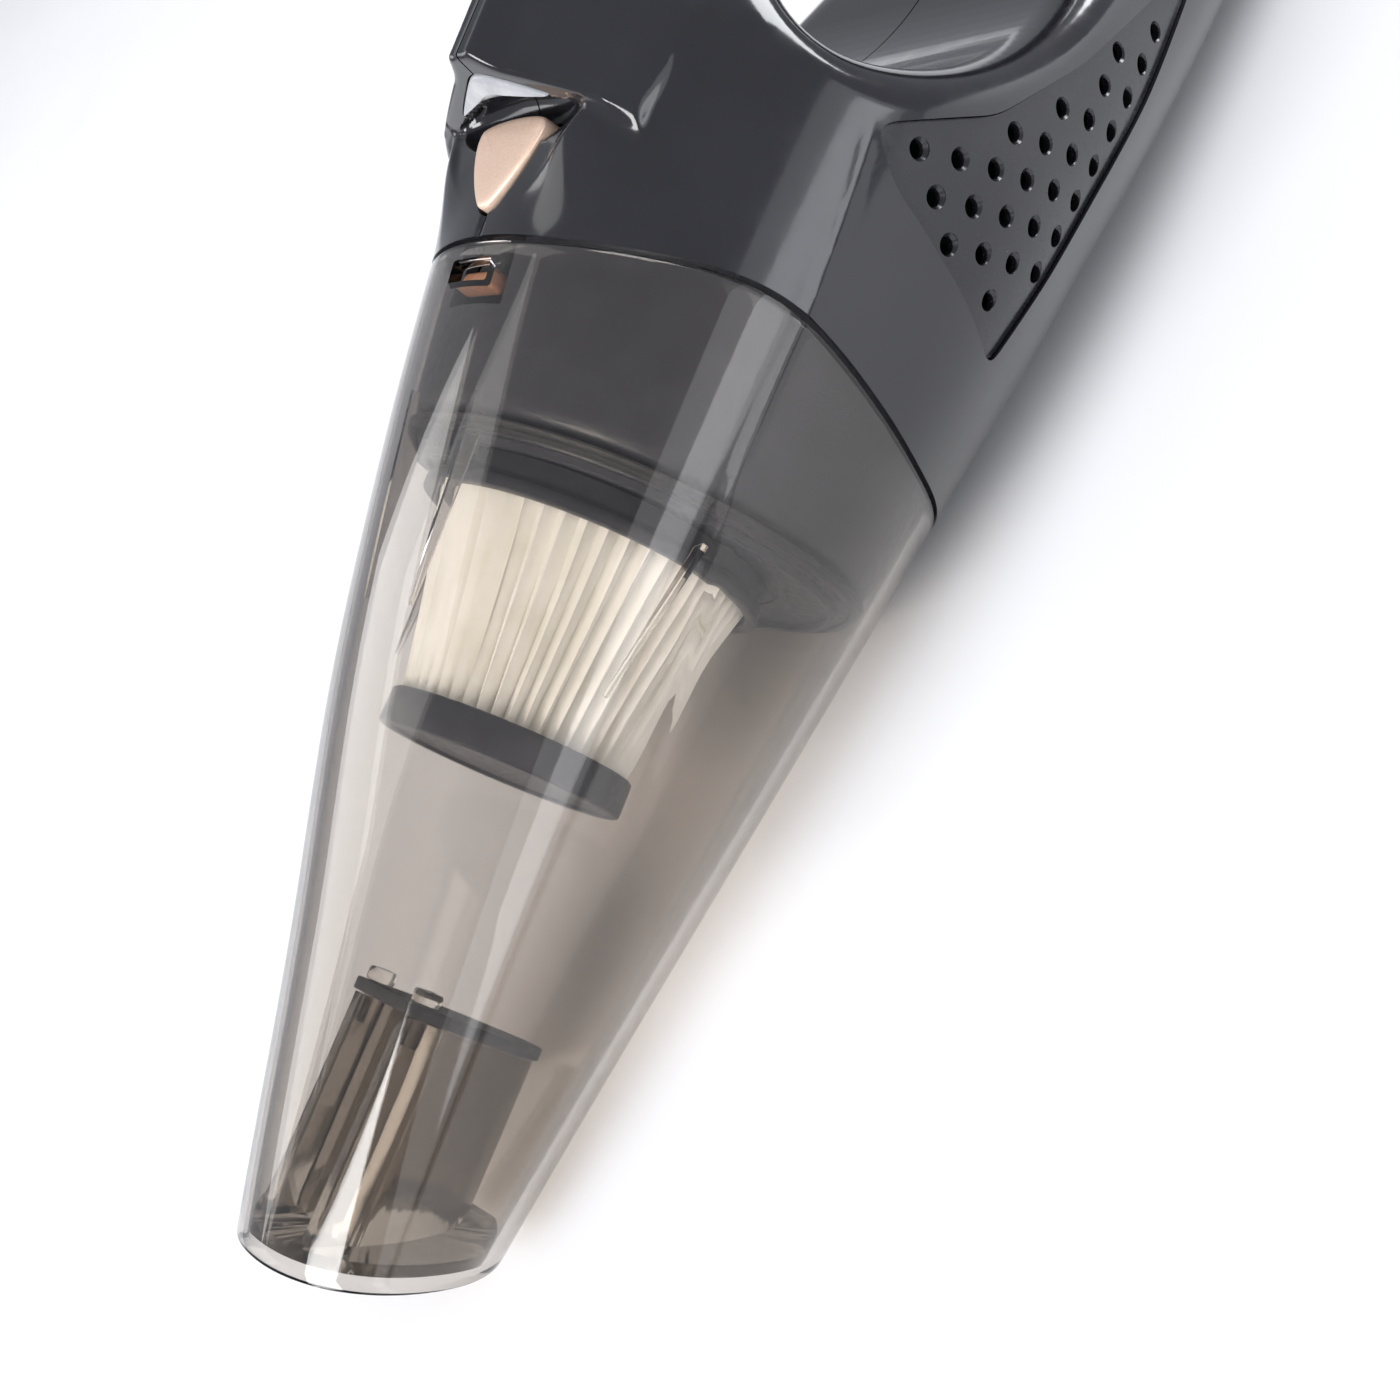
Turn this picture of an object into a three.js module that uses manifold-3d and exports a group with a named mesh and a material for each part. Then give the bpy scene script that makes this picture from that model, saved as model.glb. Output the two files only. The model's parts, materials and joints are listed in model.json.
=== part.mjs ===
import * as THREE from 'three';
import { mergeVertices } from 'three/addons/utils/BufferGeometryUtils.js';
import Module from 'manifold-3d';

// Handheld cordless vacuum cleaner, in millimetres.
// +X points out of the nozzle, +Y to the user's left, +Z up.
// It lies on its flat underside at z = 0, centred on the origin.

const wasm = await Module();
wasm.setup();

// ---------- driving dimensions ----------

const CUP_WALL = 2.2;
const SHELL = 2.5;
const GAP = 0.3;

// The lowest part of each section is cut off flat, so the object lies still.
const UNDERSIDE_CUT = 0.8;
const CUP_LIFT = 0.4;
const SECTION_POWER = 2.12;
const LEVELS = 10;

// Barrel: the dust cup and the motor housing behind it. Rows: x, top, half-width.
const BARREL = [
  [0, 103.5, 52],
  [18, 101.5, 51.2],
  [30, 98, 49.3],
  [44, 93.6, 46.8],
  [74.4, 84.4, 42.6],
  [115.5, 70.2, 35.6],
  [156, 52.9, 27.8],
  [191, 38.6, 22.2],
  [214, 28.6, 19.4],
];

// Body behind the brow. Rows: x, bottom, top, top of the lower lobe, then the half-widths
// of the lower lobe, of the grip and of the web that joins them at the rear, and the power
// of the grip's section, which goes from round to a ridged roof at the brow.
const BODY = [
  [-200, 44, 66, 55, 8, 8, 13, 2.3],
  [-197, 28, 84, 54, 14, 12, 16, 2.3],
  [-192, 16, 96, 52, 19, 14, 17.5, 2.3],
  [-184, 7, 104.5, 50, 24, 16, 18, 2.3],
  [-172, 1.6, 111.5, 48, 28, 17, 18, 2.3],
  [-155, 0, 116.5, 47, 31.5, 17.5, 18, 2.3],
  [-120, 0, 119.6, 48, 35, 18, 17, 2.3],
  [-80, 0, 119.8, 52, 39, 18.5, 16, 2.3],
  [-50, 0, 119, 61, 43.5, 19, 14, 2.2],
  [-25, 0, 117, 80, 48.5, 20, 9, 2],
  [-5, 0, 114.5, 98, 51.5, 22, 4, 1.7],
  [10, 0, 112.4, 102.5, 52, 25, 3, 1.35],
  [30.4, 0, 109, 98, 49.3, 28.8, 3, 1.06],
];
const BROW_FRONT = 30.4;
const GRIP_LOW = 78;
const WEB_POWER = 6;
const BLEND_POWER = 6;

// Parting line between housing and cup, seen from the side: x, z.
const SEAM = [
  [45.4, -6],
  [46, 10],
  [47.2, 27],
  [46, 41],
  [44.2, 54],
  [43.2, 64],
  [44.4, 73],
  [47.6, 83],
  [50, 91],
  [49.6, 100],
];
const SEAM_GAP = 0.4;

// Nozzle mouth: a plane that leans forward at the top.
const MOUTH = { x: 191.1, z: 18.1, lean: THREE.MathUtils.degToRad(28.4) };
const FLOOR_DEPTH = 2.4;
const FLOOR_THICKNESS = 2;

// Filter axis: starts at the front face of the filter's end cap and rises to the rear.
const FILTER = { x: 116.2, z: 40.2, tilt: THREE.MathUtils.degToRad(8.1) };
const CAP_RADIUS = 20.8;
const CAP_DEPTH = 6.1;
const CAP_RECESS = 0.6;
const PLEATS = 40;
const PLEAT_RADIUS = { front: 19.6, rear: 26.6, valley: 0.9 };
const PLEAT_BORE = { front: 15, rear: 21, floor: 2 };
const COLLAR_START = 38;
const COLLAR_RADIUS = 29.4;
const COLLAR_DEPTH = 6;
const COLLAR_STEP = 1;
const COLLAR_BORE = { front: 27.2, rear: 21.6, floor: 1.6 };

// Bayonet: two ears on the collar turn under two hooks on the filter frame.
const EAR = { width: 13, root: 27.8, reach: 30.6, thickness: 2, inset: 1.4 };
const HOOK = { width: 9, clearance: 0.4, thickness: 1.4, lip: 3.4, lipDepth: 1.2, front: 2.8 };
const HOLDER_START = 44.4;
const HOLDER_DEPTH = 2.2;
const HOLDER_INSET = 2.6;
const SEAL = { outer: 0.6, inner: 2.3, margin: 0.2 };

// Motor cover, and the fan and motor behind it, on the same axis.
const COVER_START = 47;
const COVER_END = 76;
const COVER_INSET = 1.2;
const COVER_WALL = 2;
const INTAKE_RADIUS = 20;
const FAN_START = 52.6;
const FAN_RADIUS = 27;
const FAN_HUB = 5;
const BLADE = { count: 9, length: 17, depth: 7, thickness: 1.2, sweep: 0.5, middle: 16.5 };
const SHROUD = { radius: 31.2, wall: 1.6, inlet: 13, outlet: 10 };
const MOTOR_START = 66.6;
const MOTOR_LENGTH = 36;
const MOTOR_RADIUS = 18.4;
const SHAFT = { radius: 1.6, bore: 2, depth: 14 };
const CUSHION = { start: 20, end: 28, thickness: 4 };

// Inlet duct, flap and the pegs that hold the flap, along the filter axis direction.
// The flap's outline is an ellipse from low to crown, cut straight across at high.
const DUCT = { rear: -40.6, halfWidth: 12.2, low: -27.4, crown: 9.9, high: 3.6, wall: 1.8 };
const DUCT_INSET = 0.8;
const DUCT_ROOF = -2.4;
const COLUMN = { foot: 2.6, head: 1.4, top: 3.2 };
const FLAP_THICKNESS = 2;
const HINGE_HEIGHT = -2.6;
const PEG = { offset: 7.6, height: 0.4, radius: 1.5, head: 2.4, depth: 4.5 };

// Release button on the sloping scoop behind the seam.
const SCOOP = { x: 49.2, z: 92.7, slope: THREE.MathUtils.degToRad(11), halfWidth: 22 };
const UNDERCUT = { rear: 27.6, front: 33, low: 96, high: 101.7, halfWidth: 21 };
const BUTTON = { x: 38.4, length: 15.8, halfWidth: 10.2, height: 3.4, proud: 0.7, clearance: 0.5 };

// Latch arm under the button, whose tab sits at the slot in the cup's top.
const SLOT = { x: 54.7, length: 3.6, halfWidth: 5.8 };
const LATCH = { rear: 33.4, top: 86.8, thickness: 2.2, halfWidth: 4.6 };
const TAB = { top: 87.3, halfWidth: 5.2 };
const LATCH_POST = { rear: 35, front: 40.6, halfWidth: 3.4, top: 90.2 };
const LATCH_NOTCH = { rear: 30, front: 62, halfWidth: 7.6, low: 82.2 };

// Vent window on each flank and the round holes in its grille.
const VENT = [
  [15, 69.5],
  [20.5, 62],
  [23, 50],
  [24.4, 41],
  [27, 27],
  [8, 25.5],
  [-30, 24],
  [-56, 25.5],
  [-46, 32],
  [-21, 42],
  [0, 53.5],
];
const VENT_PITCH = 7.2;
const VENT_ROW = 6.6;
const VENT_HOLE = 1.45;
const VENT_RECESS = 0.9;
const VENT_THICKNESS = 1.6;
const VENT_REACH = [22, 70];
const VENT_GAP = 0.5;

// Battery, board and switch.
const CELL = { radius: 9.2, length: 65, x: -90, z: 20.5, pitch: 19.2 };
const TRAY = { halfLength: 33.5, halfWidth: 20, thickness: 1.8 };
const MAIN_BOARD = { x: [-50, -12], y: [-29, 29], z: [12.4, 14] };
const SWITCH_X = -22;
const SWITCH_SLOT = { x: [SWITCH_X - 10, SWITCH_X + 12], y: [-3.2, 3.2], z: [108, 125] };
const SWITCH_STEM = { x: [SWITCH_X - 5, SWITCH_X + 5], y: [-2.4, 2.4], z: [111.4, 118] };
const SWITCH_BODY = { x: [SWITCH_X - 12, SWITCH_X + 12], y: [-4.6, 4.6], z: [100, 110.4] };
const KNOB_HALF_WIDTH = 6.5;
const LAMP = { x: 2, z: 110.6, radius: 2, length: 7 };
const JACK = { z: 40, radius: 4.7, bore: 3.2, depth: 13, floor: 2, rear: -199.2 };

// Roof-shaped lens in the brow's front face and the lamp board behind it.
const LENS = { z: 99.4, halfWidth: 12.8, peak: 7.4, belly: 2.8, front: 30.9, thickness: 3 };
const LED_BOARD = { x: [23.2, 24.8], y: [-5, 5], z: [97.5, 103] };

// Screws that clamp the housing halves: x, z.
const SCREWS = [
  [-182, 62],
  [-128, 103],
  [-48, 104],
  [-141, 22],
  [14, 13],
];
const BOSS_RADIUS = 4.6;
const SCREW = { headRadius: 2.9, headEnd: -12.2, headStart: -10, radius: 1.3, tip: 7.6 };
const SCREW_HOLE = { thread: 1.6, through: 1.7, head: 3.5, threadEnd: 8.5, seat: -9.7 };

// ---------- geometry helpers ----------

// Smooth curve through the rows of a table, read at x. Returns the columns after the first.
function sample(rows, x) {
  const last = rows.length - 1;
  let i = 0;
  while (i < last - 1 && x > rows[i + 1][0]) i += 1;
  const start = rows[i];
  const end = rows[i + 1];
  const span = end[0] - start[0];
  const t = THREE.MathUtils.clamp((x - start[0]) / span, 0, 1);
  const slopeAt = (j, column) => {
    const before = rows[Math.max(j - 1, 0)];
    const after = rows[Math.min(j + 1, last)];
    return (after[column] - before[column]) / (after[0] - before[0]);
  };
  return start.slice(1).map((_, k) => {
    const column = k + 1;
    const rise = end[column] - start[column];
    const m0 = slopeAt(i, column) * span;
    const m1 = slopeAt(i + 1, column) * span;
    const bend = m0 + m1 - 2 * rise;
    return start[column] + t * (m0 + t * (3 * rise - 2 * m0 - m1 + t * bend));
  });
}

// Half-width of a rounded lobe between two heights, zero outside them.
function lobe(z, low, high, width, power) {
  const off = Math.abs((2 * z - low - high) / (high - low));
  return off < 1 ? width * (1 - off ** power) ** (1 / power) : 0;
}

function barrelSection(x, inset) {
  const [top, width] = sample(BARREL, x);
  return {
    low: inset,
    high: top - inset,
    width: (z) => lobe(z, inset - UNDERSIDE_CUT, top - inset, width - inset, SECTION_POWER),
  };
}

function bodySection(x, inset) {
  const [bottom, top, lowerTop, lower, grip, web, power] = sample(BODY, x);
  return {
    low: Math.max(bottom, 0) + inset,
    high: top - inset,
    width: (z) => {
      const parts = [
        lobe(z, bottom + inset - UNDERSIDE_CUT, lowerTop - inset, lower - inset, SECTION_POWER),
        lobe(z, GRIP_LOW, top - inset, grip - inset, power),
        lobe(z, bottom + inset, top - inset, web - inset, WEB_POWER),
      ];
      const total = parts.reduce((sum, part) => sum + part ** BLEND_POWER, 0);
      return total ** (1 / BLEND_POWER);
    },
  };
}

// A box whose corners are moved onto the sections at the given stations along X.
function loft(stations, levels, section) {
  const steps = stations.length - 1;
  const geometry = new THREE.BoxGeometry(1, 1, 1, steps, 1, levels);
  const position = geometry.attributes.position;
  for (let i = 0; i < position.count; i += 1) {
    const x = stations[Math.round((position.getX(i) + 0.5) * steps)];
    const side = Math.sign(position.getY(i));
    const level = position.getZ(i) + 0.5;
    const { low, high, width } = section(x);
    const z = low + (high - low) * (1 - Math.cos(Math.PI * level)) / 2;
    position.setXYZ(i, x, side * Math.max(width(z), 0.8), z);
  }
  return geometry;
}

function spaced(from, to, steps) {
  return Array.from({ length: steps + 1 }, (_, i) => from + (to - from) * i / steps);
}

// Turns a three.js geometry into a solid that can be joined and cut.
function solid(geometry) {
  const bare = geometry.clone();
  bare.deleteAttribute('normal');
  bare.deleteAttribute('uv');
  const merged = mergeVertices(bare, 1e-4);
  return new wasm.Manifold(new wasm.Mesh({
    numProp: 3,
    vertProperties: new Float32Array(merged.attributes.position.array),
    triVerts: new Uint32Array(merged.index.array),
  }));
}

function toGeometry(body) {
  const { vertProperties, triVerts } = body.getMesh();
  const geometry = new THREE.BufferGeometry();
  geometry.setAttribute('position', new THREE.BufferAttribute(vertProperties, 3));
  geometry.setIndex(new THREE.BufferAttribute(triVerts, 1));
  geometry.computeVertexNormals();
  return geometry;
}

function joined(pieces) {
  return pieces.reduce((sum, piece) => sum.add(piece));
}

function block({ x, y, z }) {
  return box(...x, ...y, ...z);
}

function box(x0, x1, y0, y1, z0, z1) {
  const geometry = new THREE.BoxGeometry(x1 - x0, y1 - y0, z1 - z0);
  return solid(geometry.translate((x0 + x1) / 2, (y0 + y1) / 2, (z0 + z1) / 2));
}

// Prism of an outline in the XZ plane, running from y0 to y1.
function sidePrism(shape, y0, y1, segments = 6) {
  const options = { depth: y1 - y0, bevelEnabled: false, curveSegments: segments };
  const geometry = new THREE.ExtrudeGeometry(shape, options);
  return solid(geometry.rotateX(Math.PI / 2).translate(0, y1, 0));
}

function polygon(points) {
  return new THREE.Shape(points.map(([x, z]) => new THREE.Vector2(x, z)));
}

function rodY(x, z, radius, y0, y1, sides = 12) {
  const geometry = new THREE.CylinderGeometry(radius, radius, y1 - y0, sides);
  return solid(geometry.translate(x, (y0 + y1) / 2, z));
}

// Slab between two parallel planes that lean forward at the top.
function slab(x, z, lean, from, to) {
  const reach = 260;
  const geometry = new THREE.BoxGeometry(to - from, reach, reach);
  geometry.translate((from + to) / 2, 0, 0).rotateY(lean).translate(x, 0, z);
  return solid(geometry);
}

// Places a geometry whose +Y axis runs rearward along the filter axis.
function onFilterAxis(geometry) {
  return geometry.rotateZ(Math.PI / 2).rotateY(FILTER.tilt).translate(FILTER.x, 0, FILTER.z);
}

// Ring or disc around the filter axis from a closed profile of radius and distance.
function turned(profile, sides) {
  const points = profile.map(([radius, along]) => new THREE.Vector2(radius, along));
  return solid(onFilterAxis(new THREE.LatheGeometry(points, sides)));
}

// Slab square to the filter axis, between two distances behind the cap.
function filterSlab(from, to) {
  return slab(FILTER.x, FILTER.z, FILTER.tilt, -to, -from);
}

// Prism along the filter axis of an outline in its cross plane: sideways, then up.
function axialPrism(shape, from, to, segments = 6) {
  const options = { depth: to - from, bevelEnabled: false, curveSegments: segments };
  const geometry = new THREE.ExtrudeGeometry(shape, options);
  geometry.rotateX(Math.PI / 2).rotateZ(Math.PI / 2).translate(-to, 0, 0);
  return solid(geometry.rotateY(FILTER.tilt).translate(FILTER.x, 0, FILTER.z));
}

// Prism along X of an outline drawn sideways and up, centred at height z.
function frontPrism(shape, x0, x1, z) {
  const options = { depth: x1 - x0, bevelEnabled: false, curveSegments: 10 };
  const geometry = new THREE.ExtrudeGeometry(shape, options);
  return solid(geometry.rotateX(Math.PI / 2).rotateZ(Math.PI / 2).translate(x0, 0, z));
}

const group = new THREE.Group();
group.name = 'handheld_vacuum';

function add(name, shape, color, roughness, metalness = 0) {
  const geometry = shape.isBufferGeometry ? shape : toGeometry(shape);
  const material = new THREE.MeshStandardMaterial({ color, roughness, metalness });
  const mesh = new THREE.Mesh(geometry, material);
  mesh.name = name;
  group.add(mesh);
  return mesh;
}

const BLACK = 0x16161a;
const SLATE = 0x3a3d45;
const SMOKE = 0x8d8479;
const ROSE = 0xdcb99c;
const COPPER = 0x9a6240;
const RUBBER = 0x1d1e21;
const STEEL = 0x9b9ea3;
const BOARD_GREEN = 0x2f5a3c;
const DARK_GREY = 0x2a2c31;

// ---------- outer forms ----------

const BODY_STATIONS = [
  -200, -197, -191, -183, -171, -155, -130, -100, -70, -50, -32, -16, -3, 8, 20, BROW_FRONT,
];
const BARREL_STATIONS = [0, 14, 26, 36, 46, 54];
const CUP_STATIONS = [36, 46, 60, 74.4, 94, 115.5, 136, 156, 174, 191, 214];

// Closed hand hole, seen from the side: deep and square at the rear, pointed at the front.
function handleHole(grow) {
  const front = 6 + grow;
  const rear = -159 - grow;
  const top = 87 + grow;
  const shape = new THREE.Shape();
  shape.moveTo(front, 78);
  shape.bezierCurveTo(front, 68, -14, 46 - grow, -44, 45 - grow);
  shape.lineTo(-140, 40.5 - grow);
  shape.bezierCurveTo(-152, 40 - grow, rear, 47, rear, 60);
  shape.bezierCurveTo(rear, 76, -152, top, -138, top);
  shape.lineTo(-6, top);
  shape.bezierCurveTo(1, top, front, 84, front, 78);
  return sidePrism(shape, -70, 70, 5);
}

// The housing's outer form drawn in by an inset, with the handle hole cut through.
function bodyForm(inset) {
  const stations = BODY_STATIONS.slice();
  stations[0] += inset;
  stations[1] = Math.max(stations[1], stations[0] + 1);
  stations[stations.length - 1] -= inset;
  const handle = solid(loft(stations, LEVELS, (x) => bodySection(x, inset)));
  const barrel = solid(loft(BARREL_STATIONS, LEVELS, (x) => barrelSection(x, inset)));
  return handle.add(barrel).subtract(handleHole(inset));
}

function cupForm(inset) {
  return solid(loft(CUP_STATIONS, LEVELS, (x) => barrelSection(x, inset)));
}

// Everything on one side of the parting line: sign -1 keeps the rear, +1 the front.
function seamSide(sign) {
  const far = sign * 240;
  const line = SEAM.map(([x, z]) => new THREE.Vector2(x + sign * SEAM_GAP, z));
  const shape = new THREE.Shape();
  shape.moveTo(far, line[0].y);
  shape.lineTo(line[0].x, line[0].y);
  shape.splineThru(line.slice(1));
  shape.lineTo(line[line.length - 1].x, 140);
  shape.lineTo(far, 140);
  return sidePrism(shape, -80, 80, 2);
}

// Part of the scoop above its sloping floor, and the undercut below the brow.
function scoopCut(lower) {
  const half = SCOOP.halfWidth;
  const floor = new THREE.BoxGeometry(24, 2 * half, 20);
  floor.translate(-12, 0, 10 - lower).rotateY(SCOOP.slope).translate(SCOOP.x, 0, SCOOP.z);
  const reach = UNDERCUT.halfWidth + lower;
  const roof = UNDERCUT.high - UNDERCUT.low + lower;
  const outline = polygon([[-reach, -lower], [reach, -lower], [0, roof]]);
  const undercut = frontPrism(outline, UNDERCUT.rear - lower, UNDERCUT.front, UNDERCUT.low);
  return solid(floor).intersect(box(BROW_FRONT, 60, -30, 30, 80, 130)).add(undercut);
}

function buttonOutline(grow) {
  const rear = -BUTTON.length / 2 - grow;
  const tip = BUTTON.length / 2 + grow;
  const half = BUTTON.halfWidth + grow;
  const shape = new THREE.Shape();
  shape.moveTo(rear, -half + 3);
  shape.lineTo(rear, half - 3);
  shape.quadraticCurveTo(rear, half, rear + 3, half - 0.4);
  shape.quadraticCurveTo(tip - 6, half - 4.5, tip, 1);
  shape.quadraticCurveTo(tip + 0.5, 0, tip, -1);
  shape.quadraticCurveTo(tip - 6, -half + 4.5, rear + 3, -half + 0.4);
  shape.quadraticCurveTo(rear, -half, rear, -half + 3);
  return shape;
}

// Prism square to the scoop floor, between two heights above it.
function scoopPrism(shape, low, high) {
  const options = { depth: high - low, bevelEnabled: false, curveSegments: 4 };
  const geometry = new THREE.ExtrudeGeometry(shape, options);
  const along = (SCOOP.x - BUTTON.x) / Math.cos(SCOOP.slope);
  geometry.translate(-along, 0, low).rotateY(SCOOP.slope).translate(SCOOP.x, 0, SCOOP.z);
  return solid(geometry);
}

// ---------- housing ----------

function ventOutline(shrink) {
  const [cx, cz] = [0, 1].map((k) => VENT.reduce((sum, p) => sum + p[k], 0) / VENT.length);
  return polygon(VENT.map(([x, z]) => {
    const reach = Math.hypot(x - cx, z - cz);
    const scale = (reach - shrink) / reach;
    return [cx + (x - cx) * scale, cz + (z - cz) * scale];
  }));
}

// True where a point lies in the vent window, at least a margin away from its edges.
function insideVent(x, z, margin) {
  const point = new THREE.Vector3(x, z, 0);
  const corners = VENT.map((corner) => new THREE.Vector3(...corner, 0));
  const edges = corners.map((corner, i) => new THREE.Line3(corner, corners[(i + 1) % corners.length]));
  const crossings = edges.filter(({ start, end }) => {
    const crossing = start.x + (end.x - start.x) * (z - start.y) / (end.y - start.y);
    return (start.y > z) !== (end.y > z) && x < crossing;
  });
  const nearest = new THREE.Vector3();
  const clear = edges.every((edge) => (
    edge.closestPointToPoint(point, true, nearest).distanceTo(point) > margin));
  return crossings.length % 2 === 1 && clear;
}

function ventHoles(y0, y1) {
  const holes = [];
  for (let row = 0; row < 8; row += 1) {
    for (let i = 0; i < 13; i += 1) {
      const x = 24 - i * VENT_PITCH - (row % 2) * VENT_PITCH / 2;
      const z = 28.6 + row * VENT_ROW;
      if (insideVent(x, z, VENT_HOLE + 1.2)) holes.push(rodY(x, z, VENT_HOLE, y0, y1, 5));
    }
  }
  return joined(holes);
}

const outer = bodyForm(0);
const inner = bodyForm(SHELL);
const scoopFloor = scoopCut(0);
const housingSkin = outer.subtract(scoopFloor);
const cavity = inner.subtract(scoopCut(SHELL - 0.3));

function lensOutline(grow) {
  const half = LENS.halfWidth + 2 * grow;
  const peak = LENS.peak + grow;
  const belly = LENS.belly - grow;
  const shape = new THREE.Shape();
  shape.moveTo(-half, -grow);
  shape.lineTo(-3, peak - 1.4);
  shape.quadraticCurveTo(0, peak + 0.6, 3, peak - 1.4);
  shape.lineTo(half, -grow);
  shape.quadraticCurveTo(0, 2 * belly, -half, -grow);
  return shape;
}

function upright(radius, length, x, z) {
  const rod = new THREE.CylinderGeometry(radius, radius, length, 12);
  return solid(rod.rotateX(Math.PI / 2).translate(x, 0, z));
}

const jackHole = new THREE.CylinderGeometry(JACK.radius + GAP, JACK.radius + GAP, 20, 16);
const openings = joined([
  scoopPrism(buttonOutline(BUTTON.clearance), -8, 8),
  frontPrism(lensOutline(GAP), 25, 33, LENS.z),
  block(SWITCH_SLOT),
  upright(LAMP.radius + GAP, 20, LAMP.x, 112),
  solid(jackHole.rotateZ(Math.PI / 2).translate(-198, 0, JACK.z)),
  sidePrism(ventOutline(0), ...VENT_REACH),
  sidePrism(ventOutline(0), -VENT_REACH[1], -VENT_REACH[0]),
]);

function housingHalf(side) {
  const [y0, y1] = side > 0 ? [GAP / 2, 70] : [-70, -GAP / 2];
  const bosses = joined(SCREWS.map(([x, z]) => rodY(x, z, BOSS_RADIUS, y0, y1)));
  const threadHole = ([x, z]) => rodY(x, z, SCREW_HOLE.thread, -1, SCREW_HOLE.threadEnd);
  const headHole = ([x, z]) => rodY(x, z, SCREW_HOLE.through, -12, 1)
    .add(rodY(x, z, SCREW_HOLE.head, -70, SCREW_HOLE.seat));
  const bores = joined(SCREWS.map(side > 0 ? threadHole : headHole));
  return housingSkin.subtract(cavity)
    .add(bosses.intersect(housingSkin))
    .subtract(openings)
    .subtract(bores)
    .intersect(seamSide(-1))
    .intersect(box(-240, 240, y0, y1, -5, 140));
}

add('left_housing', housingHalf(1), BLACK, 0.12);
add('right_housing', housingHalf(-1), BLACK, 0.12);

const grilleBand = bodyForm(VENT_RECESS).subtract(bodyForm(VENT_RECESS + VENT_THICKNESS));
for (const [name, side] of [['left_vent_grille', 1], ['right_vent_grille', -1]]) {
  const [y0, y1] = VENT_REACH.map((reach) => reach * side).sort((a, b) => a - b);
  const plate = grilleBand.intersect(sidePrism(ventOutline(VENT_GAP), y0, y1));
  add(name, plate.subtract(ventHoles(y0, y1)), BLACK, 0.3);
}

const screwProfile = [
  [0, SCREW.headEnd],
  [SCREW.headRadius, SCREW.headEnd + 0.6],
  [SCREW.headRadius, SCREW.headStart],
  [SCREW.radius, SCREW.headStart],
  [SCREW.radius, SCREW.tip - 0.6],
  [0, SCREW.tip],
].map(([radius, y]) => new THREE.Vector2(radius, y));
SCREWS.forEach(([x, z], i) => {
  const screw = new THREE.LatheGeometry(screwProfile, 10).translate(x, 0, z);
  add(`housing_screw_${i + 1}`, solid(screw), STEEL, 0.35, 1);
});

// ---------- lights, release button and switch ----------

const lens = frontPrism(lensOutline(0), LENS.front - LENS.thickness, LENS.front, LENS.z);
add('led_lens', lens, 0xcfd4d8, 0.08);
add('led_board', block(LED_BOARD), BOARD_GREEN, 0.6);

const button = scoopPrism(buttonOutline(0), BUTTON.proud - BUTTON.height, BUTTON.proud);
add('release_button', button, ROSE, 0.35, 0.7);

const slotRear = SLOT.x - SLOT.length / 2;
const slotFront = SLOT.x + SLOT.length / 2;
const armLow = LATCH.top - LATCH.thickness;
const arm = box(LATCH.rear, slotRear, -LATCH.halfWidth, LATCH.halfWidth, armLow, LATCH.top);
const post = box(
  LATCH_POST.rear, LATCH_POST.front,
  -LATCH_POST.halfWidth, LATCH_POST.halfWidth,
  LATCH.top - 0.5, LATCH_POST.top,
);
const tab = box(
  slotRear - 0.5, slotFront - GAP,
  -TAB.halfWidth, TAB.halfWidth,
  armLow, TAB.top,
);
add('latch_arm', joined([arm, post, tab]), COPPER, 0.35, 0.7);

const knob = new THREE.Shape();
knob.moveTo(-9, 117.3);
knob.lineTo(-9, 118.6);
knob.quadraticCurveTo(-8.5, 119.9, -7, 119.9);
knob.quadraticCurveTo(0, 118.2, 7, 119.3);
knob.quadraticCurveTo(8.6, 119.2, 9, 117.9);
knob.lineTo(9, 116.6);
const knobTop = sidePrism(knob, -KNOB_HALF_WIDTH, KNOB_HALF_WIDTH).translate(SWITCH_X, 0, 0.1);
add('power_switch', knobTop.add(block(SWITCH_STEM)), ROSE, 0.35, 0.7);
add('switch_body', block(SWITCH_BODY), DARK_GREY, 0.6);
add('charge_light', upright(LAMP.radius, LAMP.length, LAMP.x, LAMP.z), 0xcfe0ff, 0.2);

// ---------- motor, fan and cover ----------

// Barrel form that runs on from the cup into the housing.
function innerBarrel(inset) {
  return cupForm(inset).add(solid(loft(BARREL_STATIONS, LEVELS, (x) => barrelSection(x, inset))));
}

// Disc on the filter axis between two distances.
function disc(radius, from, to, sides = 28) {
  return turned([[0, from], [radius, from], [radius, to], [0, to]], sides);
}

const coverBand = filterSlab(COVER_START, COVER_END).intersect(box(34, 120, -70, 70, 0, 130));
const coverHollow = innerBarrel(CUP_WALL + COVER_INSET + COVER_WALL);
const notch = box(
  LATCH_NOTCH.rear, LATCH_NOTCH.front,
  -LATCH_NOTCH.halfWidth, LATCH_NOTCH.halfWidth,
  LATCH_NOTCH.low, 110,
);
const cover = innerBarrel(CUP_WALL + COVER_INSET).intersect(coverBand)
  .subtract(coverHollow.subtract(filterSlab(COVER_START, COVER_START + COVER_WALL)))
  .subtract(disc(INTAKE_RADIUS, COVER_START - 4, COVER_START + 4))
  .subtract(notch);
add('motor_cover', cover, SLATE, 0.4);

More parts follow.
